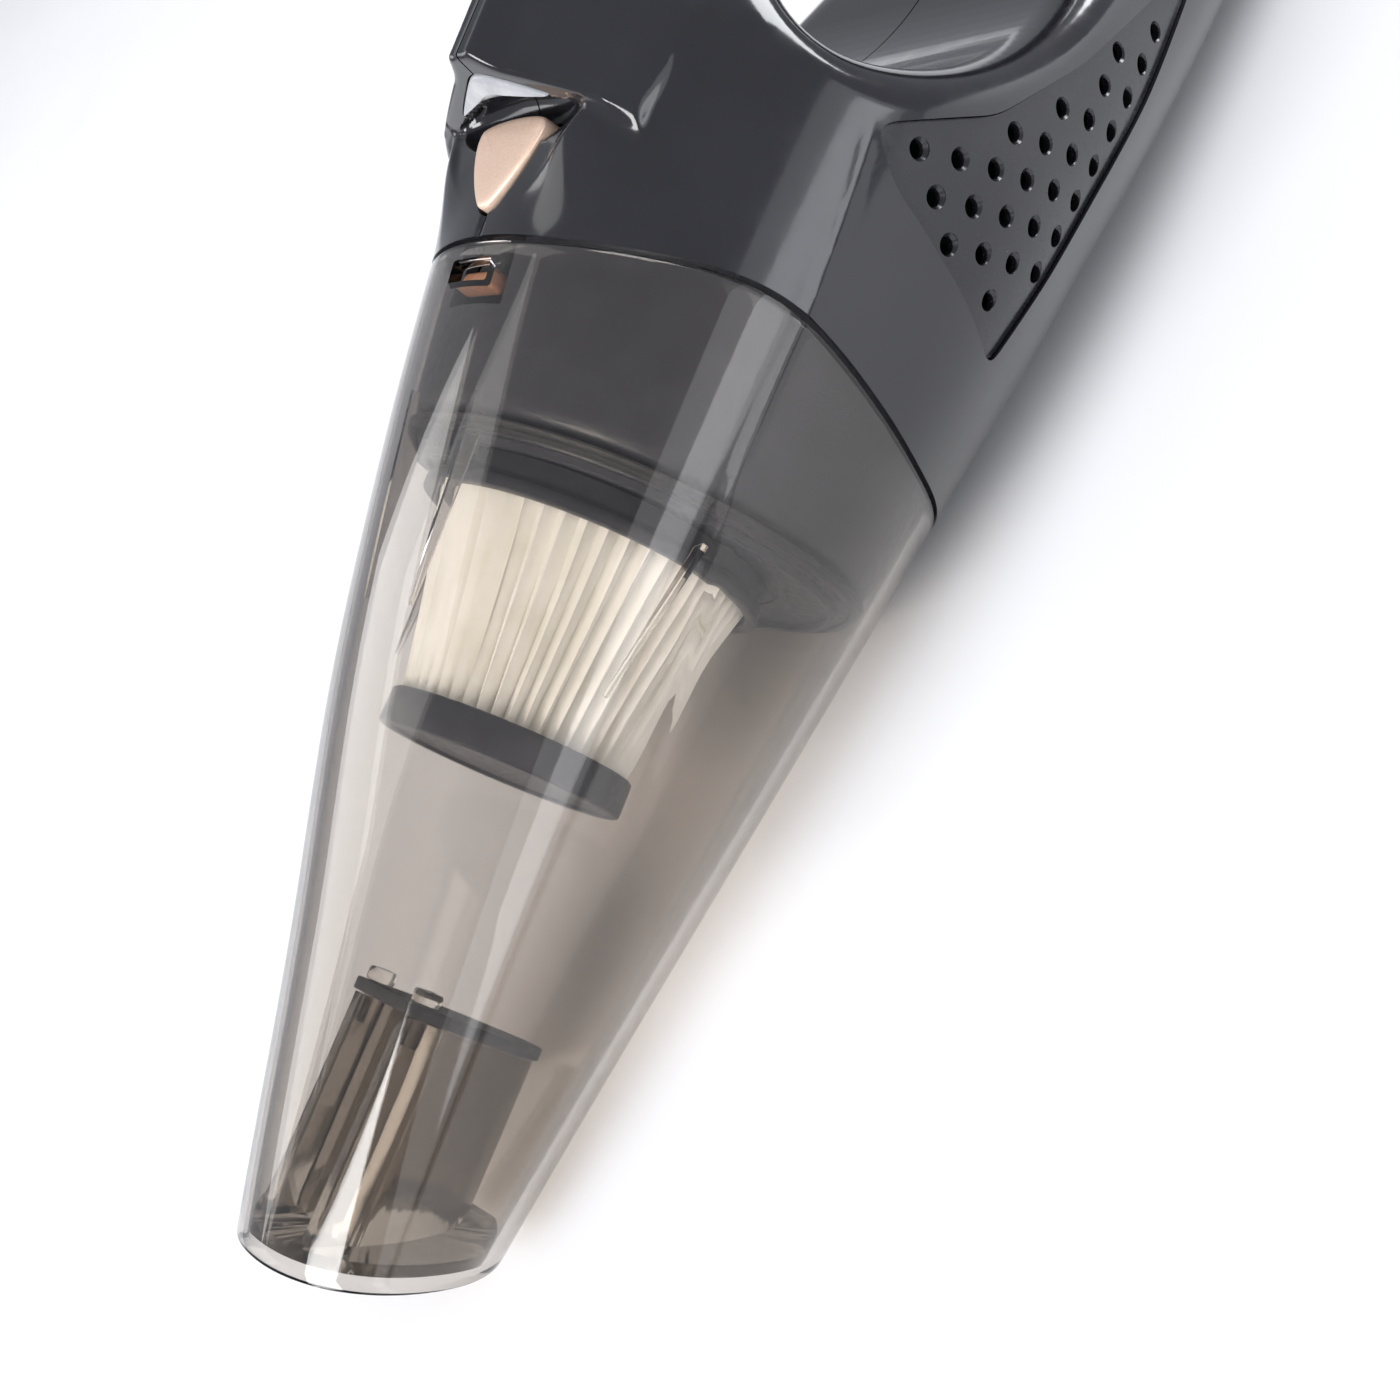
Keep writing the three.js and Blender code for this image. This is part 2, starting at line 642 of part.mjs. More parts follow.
const shroudFront = FAN_START - 2.8;
const shroudRear = MOTOR_START - 0.6;
const shroudInner = SHROUD.radius - SHROUD.wall;
add('fan_shroud', turned([
  [SHROUD.inlet, shroudFront],
  [SHROUD.radius, shroudFront],
  [SHROUD.radius, shroudRear],
  [SHROUD.outlet, shroudRear],
  [SHROUD.outlet, shroudRear - SHROUD.wall],
  [shroudInner, shroudRear - SHROUD.wall],
  [shroudInner, shroudFront + SHROUD.wall],
  [SHROUD.inlet, shroudFront + SHROUD.wall],
  [SHROUD.inlet, shroudFront],
], 28), DARK_GREY, 0.5);

const discStart = FAN_START + 8.2;
const discEnd = FAN_START + 9.6;
const fanDisc = turned([
  [0, FAN_START + 7],
  [FAN_HUB, FAN_START + 1],
  [FAN_HUB, discStart - 0.6],
  [FAN_RADIUS, discStart],
  [FAN_RADIUS, discEnd],
  [0, discEnd],
], 28);
const blades = Array.from({ length: BLADE.count }, (_, i) => {
  const blade = new THREE.BoxGeometry(BLADE.length, BLADE.depth, BLADE.thickness);
  blade.rotateY(-BLADE.sweep).translate(BLADE.middle, FAN_START + 5.2, 0);
  return solid(onFilterAxis(blade.rotateY(2 * Math.PI * i / BLADE.count)));
});
add('impeller', joined([fanDisc, ...blades]), 0xd8d6cf, 0.5);

const shaftEnd = MOTOR_START + SHAFT.depth;
add('motor_shaft', disc(SHAFT.radius, discEnd + 0.4, shaftEnd, 12), STEEL, 0.25, 1);

const motorEnd = MOTOR_START + MOTOR_LENGTH;
add('motor_can', turned([
  [SHAFT.bore, MOTOR_START],
  [MOTOR_RADIUS - 1, MOTOR_START],
  [MOTOR_RADIUS, MOTOR_START + 1],
  [MOTOR_RADIUS, motorEnd - 2],
  [MOTOR_RADIUS - 3, motorEnd],
  [0, motorEnd],
  [0, shaftEnd + 1],
  [SHAFT.bore, shaftEnd + 1],
  [SHAFT.bore, MOTOR_START],
], 28), STEEL, 0.3, 1);

const cushionStart = MOTOR_START + CUSHION.start;
const cushionEnd = MOTOR_START + CUSHION.end;
const cushion = disc(MOTOR_RADIUS + CUSHION.thickness, cushionStart, cushionEnd);
const cushionBore = disc(MOTOR_RADIUS + GAP, MOTOR_START, motorEnd);
add('motor_cushion', cushion.subtract(cushionBore), RUBBER, 0.9);

// ---------- battery, board and charging jack ----------

for (let i = 0; i < 3; i += 1) {
  const cell = new THREE.CylinderGeometry(CELL.radius, CELL.radius, CELL.length, 18);
  cell.rotateZ(Math.PI / 2).translate(CELL.x, (i - 1) * CELL.pitch, CELL.z);
  add(`battery_cell_${i + 1}`, solid(cell), 0x2c6fb0, 0.4);
}
const trayTop = CELL.z - CELL.radius - GAP;
const tray = box(
  CELL.x - TRAY.halfLength, CELL.x + TRAY.halfLength,
  -TRAY.halfWidth, TRAY.halfWidth,
  trayTop - TRAY.thickness, trayTop,
);
add('battery_tray', tray, DARK_GREY, 0.6);
add('main_board', block(MAIN_BOARD), BOARD_GREEN, 0.6);

const jackProfile = [
  [JACK.bore, 0],
  [JACK.radius, 0],
  [JACK.radius, JACK.depth],
  [0, JACK.depth],
  [0, JACK.depth - JACK.floor],
  [JACK.bore, JACK.depth - JACK.floor],
  [JACK.bore, 0],
].map(([radius, along]) => new THREE.Vector2(radius, along));
const jack = new THREE.LatheGeometry(jackProfile, 16).rotateZ(-Math.PI / 2);
add('charging_jack', solid(jack.translate(JACK.rear, 0, JACK.z)), SLATE, 0.5);

// ---------- filter ----------

add('filter_cap', turned([
  [0, CAP_RECESS],
  [CAP_RADIUS - 2.4, CAP_RECESS],
  [CAP_RADIUS - 2, 0],
  [CAP_RADIUS - 0.5, 0],
  [CAP_RADIUS, 0.7],
  [CAP_RADIUS, CAP_DEPTH - 0.4],
  [CAP_RADIUS - 0.4, CAP_DEPTH],
  [0, CAP_DEPTH],
], 40), SLATE, 0.45);

const pleatStart = CAP_DEPTH + GAP;
const pleatEnd = COLLAR_START + COLLAR_DEPTH - COLLAR_BORE.floor - 0.4;
const pleatSteps = 2 * PLEATS;
const pleatCone = new THREE.CylinderGeometry(
  PLEAT_RADIUS.rear, PLEAT_RADIUS.front, pleatEnd - pleatStart, pleatSteps, 1);
const pleatPoints = pleatCone.attributes.position;
for (let i = 0; i < pleatPoints.count; i += 1) {
  const angle = Math.atan2(pleatPoints.getZ(i), pleatPoints.getX(i));
  const fold = Math.round(angle / Math.PI * PLEATS);
  const shrink = fold % 2 === 0 ? 1 : PLEAT_RADIUS.valley;
  pleatPoints.setX(i, pleatPoints.getX(i) * shrink);
  pleatPoints.setZ(i, pleatPoints.getZ(i) * shrink);
}
pleatCone.translate(0, (pleatStart + pleatEnd) / 2, 0);
const pleatBore = turned([
  [0, pleatStart + PLEAT_BORE.floor],
  [PLEAT_BORE.front, pleatStart + PLEAT_BORE.floor],
  [PLEAT_BORE.rear, pleatEnd + 1],
  [0, pleatEnd + 1],
], 24);
add('filter_pleats', solid(onFilterAxis(pleatCone)).subtract(pleatBore), 0xe9e6dc, 0.9);

const collarEnd = COLLAR_START + COLLAR_DEPTH;
const collarFloor = collarEnd - COLLAR_BORE.floor;
const collarRing = turned([
  [COLLAR_BORE.front, COLLAR_START],
  [COLLAR_RADIUS, COLLAR_START],
  [COLLAR_RADIUS, COLLAR_START + 1.6],
  [COLLAR_RADIUS - COLLAR_STEP, COLLAR_START + 2.8],
  [COLLAR_RADIUS - COLLAR_STEP, collarEnd],
  [COLLAR_BORE.rear, collarEnd],
  [COLLAR_BORE.rear, collarFloor],
  [COLLAR_BORE.front, collarFloor],
  [COLLAR_BORE.front, COLLAR_START],
], 40);
const earDisc = disc(EAR.reach, COLLAR_START, collarEnd, 48);
const ears = [1, -1].map((side) => {
  const ear = new THREE.BoxGeometry(EAR.width, EAR.thickness, EAR.reach - EAR.root);
  ear.translate(0, collarEnd - EAR.inset, side * (EAR.reach + EAR.root) / 2);
  return solid(onFilterAxis(ear)).intersect(earDisc);
});
add('filter_collar', joined([collarRing, ...ears]), SLATE, 0.45);

const hookFront = COLLAR_START + HOOK.front;
const hookRear = HOLDER_START + 0.1;
const hooks = [1, -1].map((side) => {
  const inner = EAR.reach + HOOK.clearance;
  const leg = new THREE.BoxGeometry(HOOK.width, hookRear - hookFront, HOOK.thickness);
  leg.translate(0, (hookRear + hookFront) / 2, side * (inner + HOOK.thickness / 2));
  const lip = new THREE.BoxGeometry(HOOK.width, HOOK.lipDepth, HOOK.lip);
  lip.translate(0, hookFront - 0.2, side * (inner + HOOK.thickness / 2 - 0.8));
  return solid(onFilterAxis(leg)).add(solid(onFilterAxis(lip)));
});
const holderEnd = HOLDER_START + HOLDER_DEPTH;
const plate = cupForm(CUP_WALL + HOLDER_INSET).intersect(filterSlab(HOLDER_START, holderEnd));
const plateBore = disc(INTAKE_RADIUS, HOLDER_START - 2, holderEnd + 2);
add('filter_frame', joined([plate, ...hooks]).subtract(plateBore), SLATE, 0.45);

const sealBand = filterSlab(HOLDER_START + SEAL.margin, holderEnd - SEAL.margin);
const sealRing = cupForm(CUP_WALL + SEAL.outer).subtract(cupForm(CUP_WALL + SEAL.inner));
add('cup_seal', sealRing.intersect(sealBand), RUBBER, 0.85);

// ---------- dust cup with its inlet ----------

// Slab along the nozzle's mouth plane, between two distances from it.
function mouthSlab(from, to) {
  return slab(MOUTH.x, MOUTH.z, MOUTH.lean, from, to);
}

const aboveFloor = box(0, 240, -90, 90, CUP_LIFT, 140);
const slot = box(slotRear, slotFront, -SLOT.halfWidth, SLOT.halfWidth, 80, 100);
const dustCup = cupForm(0)
  .subtract(cupForm(CUP_WALL))
  .intersect(seamSide(1))
  .intersect(mouthSlab(-300, 0))
  .intersect(aboveFloor)
  .subtract(slot);
add('dust_cup', dustCup, SMOKE, 0.06);

// Flat-topped round outline of the duct and its flap, in the cross plane.
function ductOutline(shrink, high) {
  const middle = (DUCT.low + DUCT.crown) / 2;
  const tall = DUCT.crown - middle - shrink;
  const wide = DUCT.halfWidth - shrink;
  const corner = Math.asin((high - middle) / tall);
  const shape = new THREE.Shape();
  shape.moveTo(wide * Math.cos(corner), high);
  shape.absellipse(0, middle, wide, tall, corner, Math.PI - corner, true);
  return shape;
}

// Rod along the filter axis through a peg's place on one side.
function pegRod(side, radius, from, to) {
  const rod = new THREE.CylinderGeometry(radius, radius, to - from, 12);
  return solid(onFilterAxis(rod.translate(side * PEG.offset, (from + to) / 2, PEG.height)));
}

const SIDES = [['left', 1], ['right', -1]];
const ductRear = DUCT.rear - GAP;
const flapRear = DUCT.rear + FLAP_THICKNESS;
const columns = SIDES.map(([, side]) => {
  const y = side * PEG.offset;
  const outline = polygon([
    [y - COLUMN.foot, DUCT_ROOF - 0.6],
    [y + COLUMN.foot, DUCT_ROOF - 0.6],
    [y + COLUMN.head, COLUMN.top],
    [y - COLUMN.head, COLUMN.top],
  ]);
  return axialPrism(outline, -90, ductRear);
});
const ductTube = axialPrism(ductOutline(DUCT_INSET, DUCT_ROOF), -90, ductRear);
const boreOutline = ductOutline(DUCT_INSET + DUCT.wall, DUCT_ROOF - DUCT.wall);
const mouthFloor = mouthSlab(-FLOOR_DEPTH - FLOOR_THICKNESS, -FLOOR_DEPTH);
const pegHoles = SIDES.map(([, side]) => (
  pegRod(side, PEG.radius + GAP, ductRear - PEG.depth - 0.5, ductRear + 1)));
const duct = joined([ductTube, ...columns])
  .intersect(mouthSlab(-200, -FLOOR_DEPTH - 0.5))
  .add(cupForm(CUP_WALL + GAP).intersect(mouthFloor))
  .intersect(aboveFloor)
  .subtract(axialPrism(boreOutline, -110, ductRear + 2))
  .subtract(joined(pegHoles));
add('inlet_duct', duct, SMOKE, 0.1);

// Everything in the cross plane below a height, around the flap.
function belowHeight(high) {
  const outline = polygon([[-40, -60], [40, -60], [40, high], [-40, high]]);
  return axialPrism(outline, DUCT.rear - 1, flapRear + 1);
}

const flapSheet = axialPrism(ductOutline(0, DUCT.high), DUCT.rear, flapRear);
add('inlet_flap', flapSheet.intersect(belowHeight(HINGE_HEIGHT - GAP / 2)), RUBBER, 0.8);

const stripHoles = SIDES.map(([, side]) => (
  pegRod(side, PEG.radius + GAP, DUCT.rear - 1, flapRear + 1)));
const strip = flapSheet.subtract(belowHeight(HINGE_HEIGHT + GAP / 2)).subtract(joined(stripHoles));
add('flap_strip', strip, RUBBER, 0.8);

for (const [name, side] of SIDES) {
  const stem = pegRod(side, PEG.radius, ductRear - PEG.depth, flapRear + 1);
  const head = pegRod(side, PEG.head, flapRear + GAP, flapRear + 2.4);
  add(`flap_peg_${name}`, stem.add(head), 0xd9d6cf, 0.2);
}

export default group;
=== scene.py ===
import json
import math

import bmesh
import bpy
import numpy as np
from mathutils import Matrix, Vector


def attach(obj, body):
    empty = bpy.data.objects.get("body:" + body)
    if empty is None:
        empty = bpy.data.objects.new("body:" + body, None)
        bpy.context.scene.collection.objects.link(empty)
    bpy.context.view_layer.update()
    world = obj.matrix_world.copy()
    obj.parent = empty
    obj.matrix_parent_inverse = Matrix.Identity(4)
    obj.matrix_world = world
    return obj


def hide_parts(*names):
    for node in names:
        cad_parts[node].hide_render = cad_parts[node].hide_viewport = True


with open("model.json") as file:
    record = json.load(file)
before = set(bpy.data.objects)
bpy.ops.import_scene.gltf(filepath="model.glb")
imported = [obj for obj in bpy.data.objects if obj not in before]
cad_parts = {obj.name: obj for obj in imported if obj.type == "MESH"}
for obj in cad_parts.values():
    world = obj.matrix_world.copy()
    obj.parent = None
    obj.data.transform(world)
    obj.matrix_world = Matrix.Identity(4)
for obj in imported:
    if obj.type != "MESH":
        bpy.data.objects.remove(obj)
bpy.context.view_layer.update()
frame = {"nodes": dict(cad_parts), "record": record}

# Handheld cordless vacuum. +X points out of the nozzle, +Y to the user's left, +Z up.
# Shapes are worked out in millimetres in the CAD frame and made in metres.

MM = 0.001

# ---------- driving dimensions, in millimetres ----------

CUP_WALL = 2.2
SHELL = 2.5
UNDERSIDE_CUT = 0.8
CUP_LIFT = 0.4
SECTION_POWER = 2.12
WEB_POWER = 6

# Rows: x, bottom, top, half-width. The lower body, then the barrel in front of it.
LOWER_ROWS = [
    (-200, 44, 55, 8),
    (-197, 28, 54, 14),
    (-192, 16, 52, 19),
    (-184, 7, 50, 24),
    (-172, 1.6, 48, 28),
    (-155, 0, 47, 31.5),
    (-120, 0, 48, 35),
    (-80, 0, 52, 39),
    (-50, 0, 61, 43.5),
    (-25, 0, 80, 48.5),
    (-5, 0, 98, 51.5),
    (10, 0, 102.5, 52),
    (30.4, 0, 98, 49.3),
    (44, 0, 93.6, 46.8),
    (74.4, 0, 84.4, 42.6),
    (115.5, 0, 70.2, 35.6),
    (156, 0, 52.9, 27.8),
    (191, 0, 38.6, 22.2),
    (214, 0, 28.6, 19.4),
]

# Rows: x, bottom, top, half-width of the grip, of the web below it, power of the grip's section.
UPPER_ROWS = [
    (-200, 44, 66, 8, 13, 2.3),
    (-197, 28, 84, 12, 16, 2.3),
    (-192, 16, 96, 14, 17.5, 2.3),
    (-184, 7, 104.5, 16, 18, 2.3),
    (-172, 1.6, 111.5, 17, 18, 2.3),
    (-155, 0, 116.5, 17.5, 18, 2.3),
    (-120, 0, 119.6, 18, 17, 2.3),
    (-80, 0, 119.8, 18.5, 16, 2.3),
    (-50, 0, 119, 19, 14, 2.2),
    (-25, 0, 117, 20, 9, 2),
    (-5, 0, 114.5, 22, 4, 1.7),
    (10, 0, 112.4, 25, 3, 1.35),
    (30.4, 0, 109, 28.8, 3, 1.06),
    (60, 0, 104, 30, 3, 1.06),
]
BROW_FRONT = 30.4
TAIL_SECTION = -186
GRIP_LOW = 78

# Parting line between housing and cup: z, x.
SEAM_ROWS = [
    (-6, 45.4),
    (10, 46),
    (27, 47.2),
    (41, 46),
    (54, 44.2),
    (64, 43.2),
    (73, 44.4),
    (83, 47.6),
    (91, 50),
    (100, 49.6),
]
SEAM_GAP = 0.4
HALF_GAP = 0.18

MOUTH = {"x": 191.1, "z": 18.1, "lean": math.radians(28.4)}
FLOOR_DEPTH = 2.4
FLOOR_THICKNESS = 2

FILTER = {"x": 116.2, "z": 40.2, "tilt": math.radians(8.1)}
CAP_DEPTH = 6.1
COLLAR_START = 38
COVER_END = 76

DUCT = {"rear": -40.6, "half": 12.2, "low": -27.4, "crown": 9.9, "high": 3.6, "wall": 1.8, "roof": -2.4}
HINGE_HEIGHT = -2.6
PEG = {"offset": 7.6, "height": 0.4}

SCOOP = {"x": 49.2, "z": 92.7, "slope": math.radians(11)}
BUTTON = {"x": 38.4, "length": 15.8, "half": 10.2}
SLOT = {"x": 54.7, "length": 3.6, "half": 5.8}
SWITCH_X = -22
JACK = {"z": 40, "radius": 5}
LAMP = {"x": 2, "radius": 2.15}
LENS = {"half": 12.8, "low": 99.4, "peak": 7.4, "belly": 2.8}
SCREWS = [(-182, 62), (-128, 103), (-48, 104), (-141, 22), (14, 13)]
VENT = [
    (15, 69.5), (20.5, 62), (23, 50), (24.4, 41), (27, 27), (8, 25.5),
    (-30, 24), (-56, 25.5), (-46, 32), (-21, 42), (0, 53.5),
]
VENT_PITCH = 7.2
VENT_ROW = 6.6
VENT_HOLE = 1.4
HOLE_SIDES = 28
KNOB_SEAT = 117.25
KNOB_HEIGHT = 2.6
KNOB_DISH = 0.8
LATHE_SIDES = 128
RING_SIDES = 192
CUP_SIDES = 264
DUCT_SIDES = 96
NET_STEP = 0.9


# ---------- curves and fields ----------

def around(sides):
    """Angles spread evenly over a full turn."""
    return np.linspace(0, 2 * math.pi, sides, endpoint=False)


def side_circle(x, y, z, radius, sides):
    """Circle round an axis along Y."""
    angle = around(sides)
    return np.stack([x + radius * np.cos(angle), np.full(sides, y), z + radius * np.sin(angle)], 1)


def hermite(rows, x):
    """Smooth curve through the rows of a table, read at x. One column for each after the first."""
    rows = np.array(rows, float)
    knots, values = rows[:, 0], rows[:, 1:]
    before = np.maximum(np.arange(len(knots)) - 1, 0)
    after = np.minimum(np.arange(len(knots)) + 1, len(knots) - 1)
    slope = (values[after] - values[before]) / (knots[after] - knots[before])[:, None]
    i = np.clip(np.searchsorted(knots, x) - 1, 0, len(knots) - 2)
    span = (knots[i + 1] - knots[i])[:, None]
    t = np.clip((x - knots[i])[:, None] / span, 0, 1)
    rise = values[i + 1] - values[i]
    m0, m1 = slope[i] * span, slope[i + 1] * span
    return values[i] + t * (m0 + t * (3 * rise - 2 * m0 - m1 + t * (m0 + m1 - 2 * rise)))


def smooth_table(rows, blur, keep_below=-1e9):
    """A function that reads a table's smoothed curve at any x. Below keep_below it isn't smoothed."""
    grid = np.arange(rows[0][0], rows[-1][0] + 0.25, 0.5)
    exact = hermite(rows, grid)
    reach = int(6 * blur)
    kernel = np.exp(-0.5 * (np.arange(-reach, reach + 1) / (2 * blur)) ** 2)
    kernel /= kernel.sum()
    columns = []
    for column in exact.T:
        padded = np.pad(column, reach, mode="reflect", reflect_type="odd")
        soft = np.convolve(padded, kernel, mode="valid")
        weight = np.clip((grid - keep_below) / 20, 0, 1)
        columns.append(soft * weight + column * (1 - weight))
    return lambda x: [np.interp(x, grid, column) for column in columns]


lower_at = smooth_table(LOWER_ROWS, 4, -185)
upper_at = smooth_table(UPPER_ROWS, 4, -185)
seam_at = smooth_table(SEAM_ROWS, 2.5)


def smin(a, b, k):
    h = np.clip(0.5 + 0.5 * (b - a) / k, 0, 1)
    return b + (a - b) * h - k * h * (1 - h)


def smax(a, b, k):
    return -smin(-a, -b, k)


def lobe(y, z, low, high, width, power):
    """Distance-like field of a rounded section between two heights, negative inside."""
    missing = 3 * np.maximum(low + 1 - high, 0)
    half = np.maximum(high - low, 1) / 2
    a = np.maximum(np.abs(y) / width, 1e-4)
    b = np.maximum(np.abs(z - (low + high) / 2) / half, 1e-4)
    g = (a ** power + b ** power) ** (1 / power)
    steep = g ** (1 - power) * np.hypot(a ** (power - 1) / width, b ** (power - 1) / half)
    return (g - 1) / np.maximum(steep, 1 / np.maximum(width, half)) + missing


def fade(value, start, end):
    t = np.clip((value - start) / (end - start), 0, 1)
    return t * t * (3 - 2 * t)


def bezier(p0, p1, p2, p3, steps):
    t = np.linspace(0, 1, steps, endpoint=False)[:, None]
    p0, p1, p2, p3 = (np.array(p, float) for p in (p0, p1, p2, p3))
    return (1 - t) ** 3 * p0 + 3 * (1 - t) ** 2 * t * p1 + 3 * (1 - t) * t ** 2 * p2 + t ** 3 * p3


def rounded(corners, radius, steps=5):
    """Closed outline with each corner rounded."""
    corners = np.array(corners, float)
    points = []
    for i, corner in enumerate(corners):
        before = corners[i - 1] - corner
        after = corners[(i + 1) % len(corners)] - corner
        cut = min(radius, 0.45 * np.linalg.norm(before), 0.45 * np.linalg.norm(after))
        start = corner + before / np.linalg.norm(before) * cut
        end = corner + after / np.linalg.norm(after) * cut
        for t in np.linspace(0, 1, steps):
            points.append((1 - t) ** 2 * start + 2 * (1 - t) * t * corner + t ** 2 * end)
    return np.array(points)


def outline_distance(outline, u, v):
    """Signed distance from points to a closed outline, negative inside."""
    best = np.full(u.shape, 1e9)
    crossings = np.zeros(u.shape, bool)
    for (au, av), (bu, bv) in zip(outline, np.roll(outline, -1, axis=0)):
        du, dv = bu - au, bv - av
        t = np.clip(((u - au) * du + (v - av) * dv) / (du * du + dv * dv + 1e-12), 0, 1)
        best = np.minimum(best, (u - au - t * du) ** 2 + (v - av - t * dv) ** 2)
        if av != bv:
            crossings ^= ((av > v) != (bv > v)) & (u < au + du * (v - av) / dv)
    return np.sqrt(best) * np.where(crossings, -1, 1)


class Plan:
    """An outline's signed distance, stored on a grid and read between its points."""

    def __init__(self, outline, margin=14, step=0.5):
        self.low = outline.min(axis=0) - margin
        self.step = step
        counts = np.ceil((outline.max(axis=0) + margin - self.low) / step).astype(int) + 1
        u, v = (self.low[k] + step * np.arange(counts[k]) for k in range(2))
        uu, vv = np.meshgrid(u, v, indexing="ij")
        self.grid = outline_distance(outline, uu, vv)
        self.limit = counts - 1.001

    def __call__(self, u, v):
        a = np.clip((u - self.low[0]) / self.step, 0, self.limit[0])
        b = np.clip((v - self.low[1]) / self.step, 0, self.limit[1])
        i, j = a.astype(int), b.astype(int)
        s, t = a - i, b - j
        g = self.grid
        near = g[i, j] * (1 - t) + g[i, j + 1] * t
        far = g[i + 1, j] * (1 - t) + g[i + 1, j + 1] * t
        return near * (1 - s) + far * s


def hand_hole_outline():
    return np.concatenate([
        bezier((6, 78), (6, 68), (-14, 46), (-44, 45), 30),
        bezier((-44, 45), (-76, 43.5), (-108, 42), (-140, 40.5), 12),
        bezier((-140, 40.5), (-152, 40), (-159, 47), (-159, 60), 20),
        bezier((-159, 60), (-159, 76), (-152, 87), (-138, 87), 20),
        bezier((-138, 87), (-94, 87), (-50, 87), (-6, 87), 12),
        bezier((-6, 87), (1, 87), (6, 84), (6, 78), 14),
    ])


def tail_outline():
    """Side view of the housing's rear end."""
    x = np.linspace(-199.9, -100, 160)
    rows = hermite(UPPER_ROWS, x)
    under = np.stack([x, rows[:, 0]], 1)
    over = np.stack([x, rows[:, 1]], 1)
    return np.concatenate([under[::-1], over])


def button_outline():
    """Rounded triangle in the scoop, along the slope and sideways, pointing forward."""
    half, reach = BUTTON["half"], BUTTON["length"] / 2
    side = bezier((-reach + 0.6, half - 1.6), (-reach + 1.4, half + 1), (1, half - 2.4),
                  (reach - 1.6, 2.2), 22)
    tip = bezier((reach - 1.6, 2.2), (reach - 0.2, 1), (reach - 0.2, -1), (reach - 1.6, -2.2), 10)
    other = side[::-1] * (1, -1)
    back = bezier((-reach + 0.6, -half + 1.6), (-reach - 0.6, -half / 2), (-reach - 0.6, half / 2),
                  (-reach + 0.6, half - 1.6), 16)
    return np.concatenate([side, tip, other, back])


def lens_outline(grow=0.0):
    """Roof-shaped lens, sideways and up."""
    half, low = LENS["half"] + 2 * grow, LENS["low"] - grow
    peak = LENS["low"] + LENS["peak"] + grow
    belly = LENS["low"] + LENS["belly"] - grow
    left = bezier((-half, low), (-half + 1, low + 1), (-4, peak - 2), (-2.6, peak - 1.3), 12)
    top = bezier((-2.6, peak - 1.3), (-1, peak - 0.4), (1, peak - 0.4), (2.6, peak - 1.3), 8)
    right = bezier((2.6, peak - 1.3), (4, peak - 2), (half - 1, low + 1), (half, low), 12)
    bottom = bezier((half, low), (half / 2, belly + 0.2), (-half / 2, belly + 0.2), (-half, low), 20)
    return np.concatenate([left, top, right, bottom])


HAND_HOLE = Plan(hand_hole_outline())
VENT_OUTLINE = rounded(VENT, 3.2)
VENT_WINDOW = Plan(VENT_OUTLINE)
REAR_OUTLINE = Plan(tail_outline(), 8)
BUTTON_HOLE = Plan(button_outline() + (BUTTON["x"], 0), 6, 0.25)
LENS_HOLE = Plan(lens_outline(), 6, 0.25)


def scoop_floor(x):
    return SCOOP["z"] + (SCOOP["x"] - x) * math.tan(SCOOP["slope"])


def scoop_field(x, y, z):
    """Recess round the button and the pocket under the brow, negative inside."""
    height = (z - scoop_floor(x)) * math.cos(SCOOP["slope"])
    edge = np.interp(x, [26, 30, 34, 38.8, 42.2, 45, 47, 49, 52], [20, 19.5, 17, 14.4, 11.1, 7.5, 4, -1, -8])
    side = (y - edge) * 0.85
    open_part = smax(smax(-height, side, 1.6), BROW_FRONT - x, 0.2)
    roof = z - (101.7 - 0.26 * y)
    under_brow = smax(smax(-height + 0.4, side, 3), np.maximum(26.8 - x, roof), 1.2)
    bowl = (np.sqrt(((x - 30.6) / 5) ** 2 + (y / 16.5) ** 2 + ((z - 96.6) / 3.6) ** 2) - 1) * 3.6
    bowl = np.maximum(bowl, roof)
    return smin(np.minimum(open_part, under_brow), bowl, 0.6)


def crease_height(x):
    """Height of the fine character line along the flank."""
    return np.interp(x, [10, 16.8, 43.7, 66.8, 87.7, 114, 150], [72.5, 69.2, 60.6, 55.7, 47.3, 38, 25])


def outer_form(x, y, z):
    """The housing's outer surface as a field, negative inside."""
    y = np.abs(y)
    along = np.maximum(x, TAIL_SECTION)
    bottom, crown, half = lower_at(along)
    shoulder = 2.2 * fade(x, 22, 31) * (1 - fade(x, 35, 49))
    raised = z - shoulder * np.exp(-((y - 17) / 6) ** 2)
    body = lobe(y, raised, bottom - UNDERSIDE_CUT, crown, half, SECTION_POWER)
    _, top, grip, web, power = upper_at(along)
    handle = lobe(y, z, GRIP_LOW, top, grip, power)
    spine = lobe(y, z, bottom, top, web, WEB_POWER)
    handle = smax(smin(handle, spine, 5), x - BROW_FRONT, 1)
    rise = np.interp(y, [0, 18, 24, 31], [20, 12, 3.5, 0]) + 200 * (1 - fade(x, -8, 22))
    handle = smax(handle, body - rise, 2)
    form = smin(body, handle, np.interp(x, [5, 28], [9, 1.4]) + 3 * fade(y, 18, 27) * fade(x, 4, 26))
    form = smax(form, -z, 1.2)
    tail = REAR_OUTLINE(x, z) - 9 * fade(x, -196, -170)
    form = np.where(x < -150, smax(form, tail, 9), form)
    form = smax(form, -HAND_HOLE(x, z), 9)
    ridge = np.exp(-((z - crease_height(x)) / 1.1) ** 2) * fade(x, 13, 20) * fade(y, 30, 36)
    form = smax(form - 0.22 * ridge, -scoop_field(x, y, z), 0.7)
    channel = np.maximum(np.maximum(y - 0.8, 45.5 - x), scoop_floor(x) - 0.9 - z)
    return smax(form, -channel, 0.3)


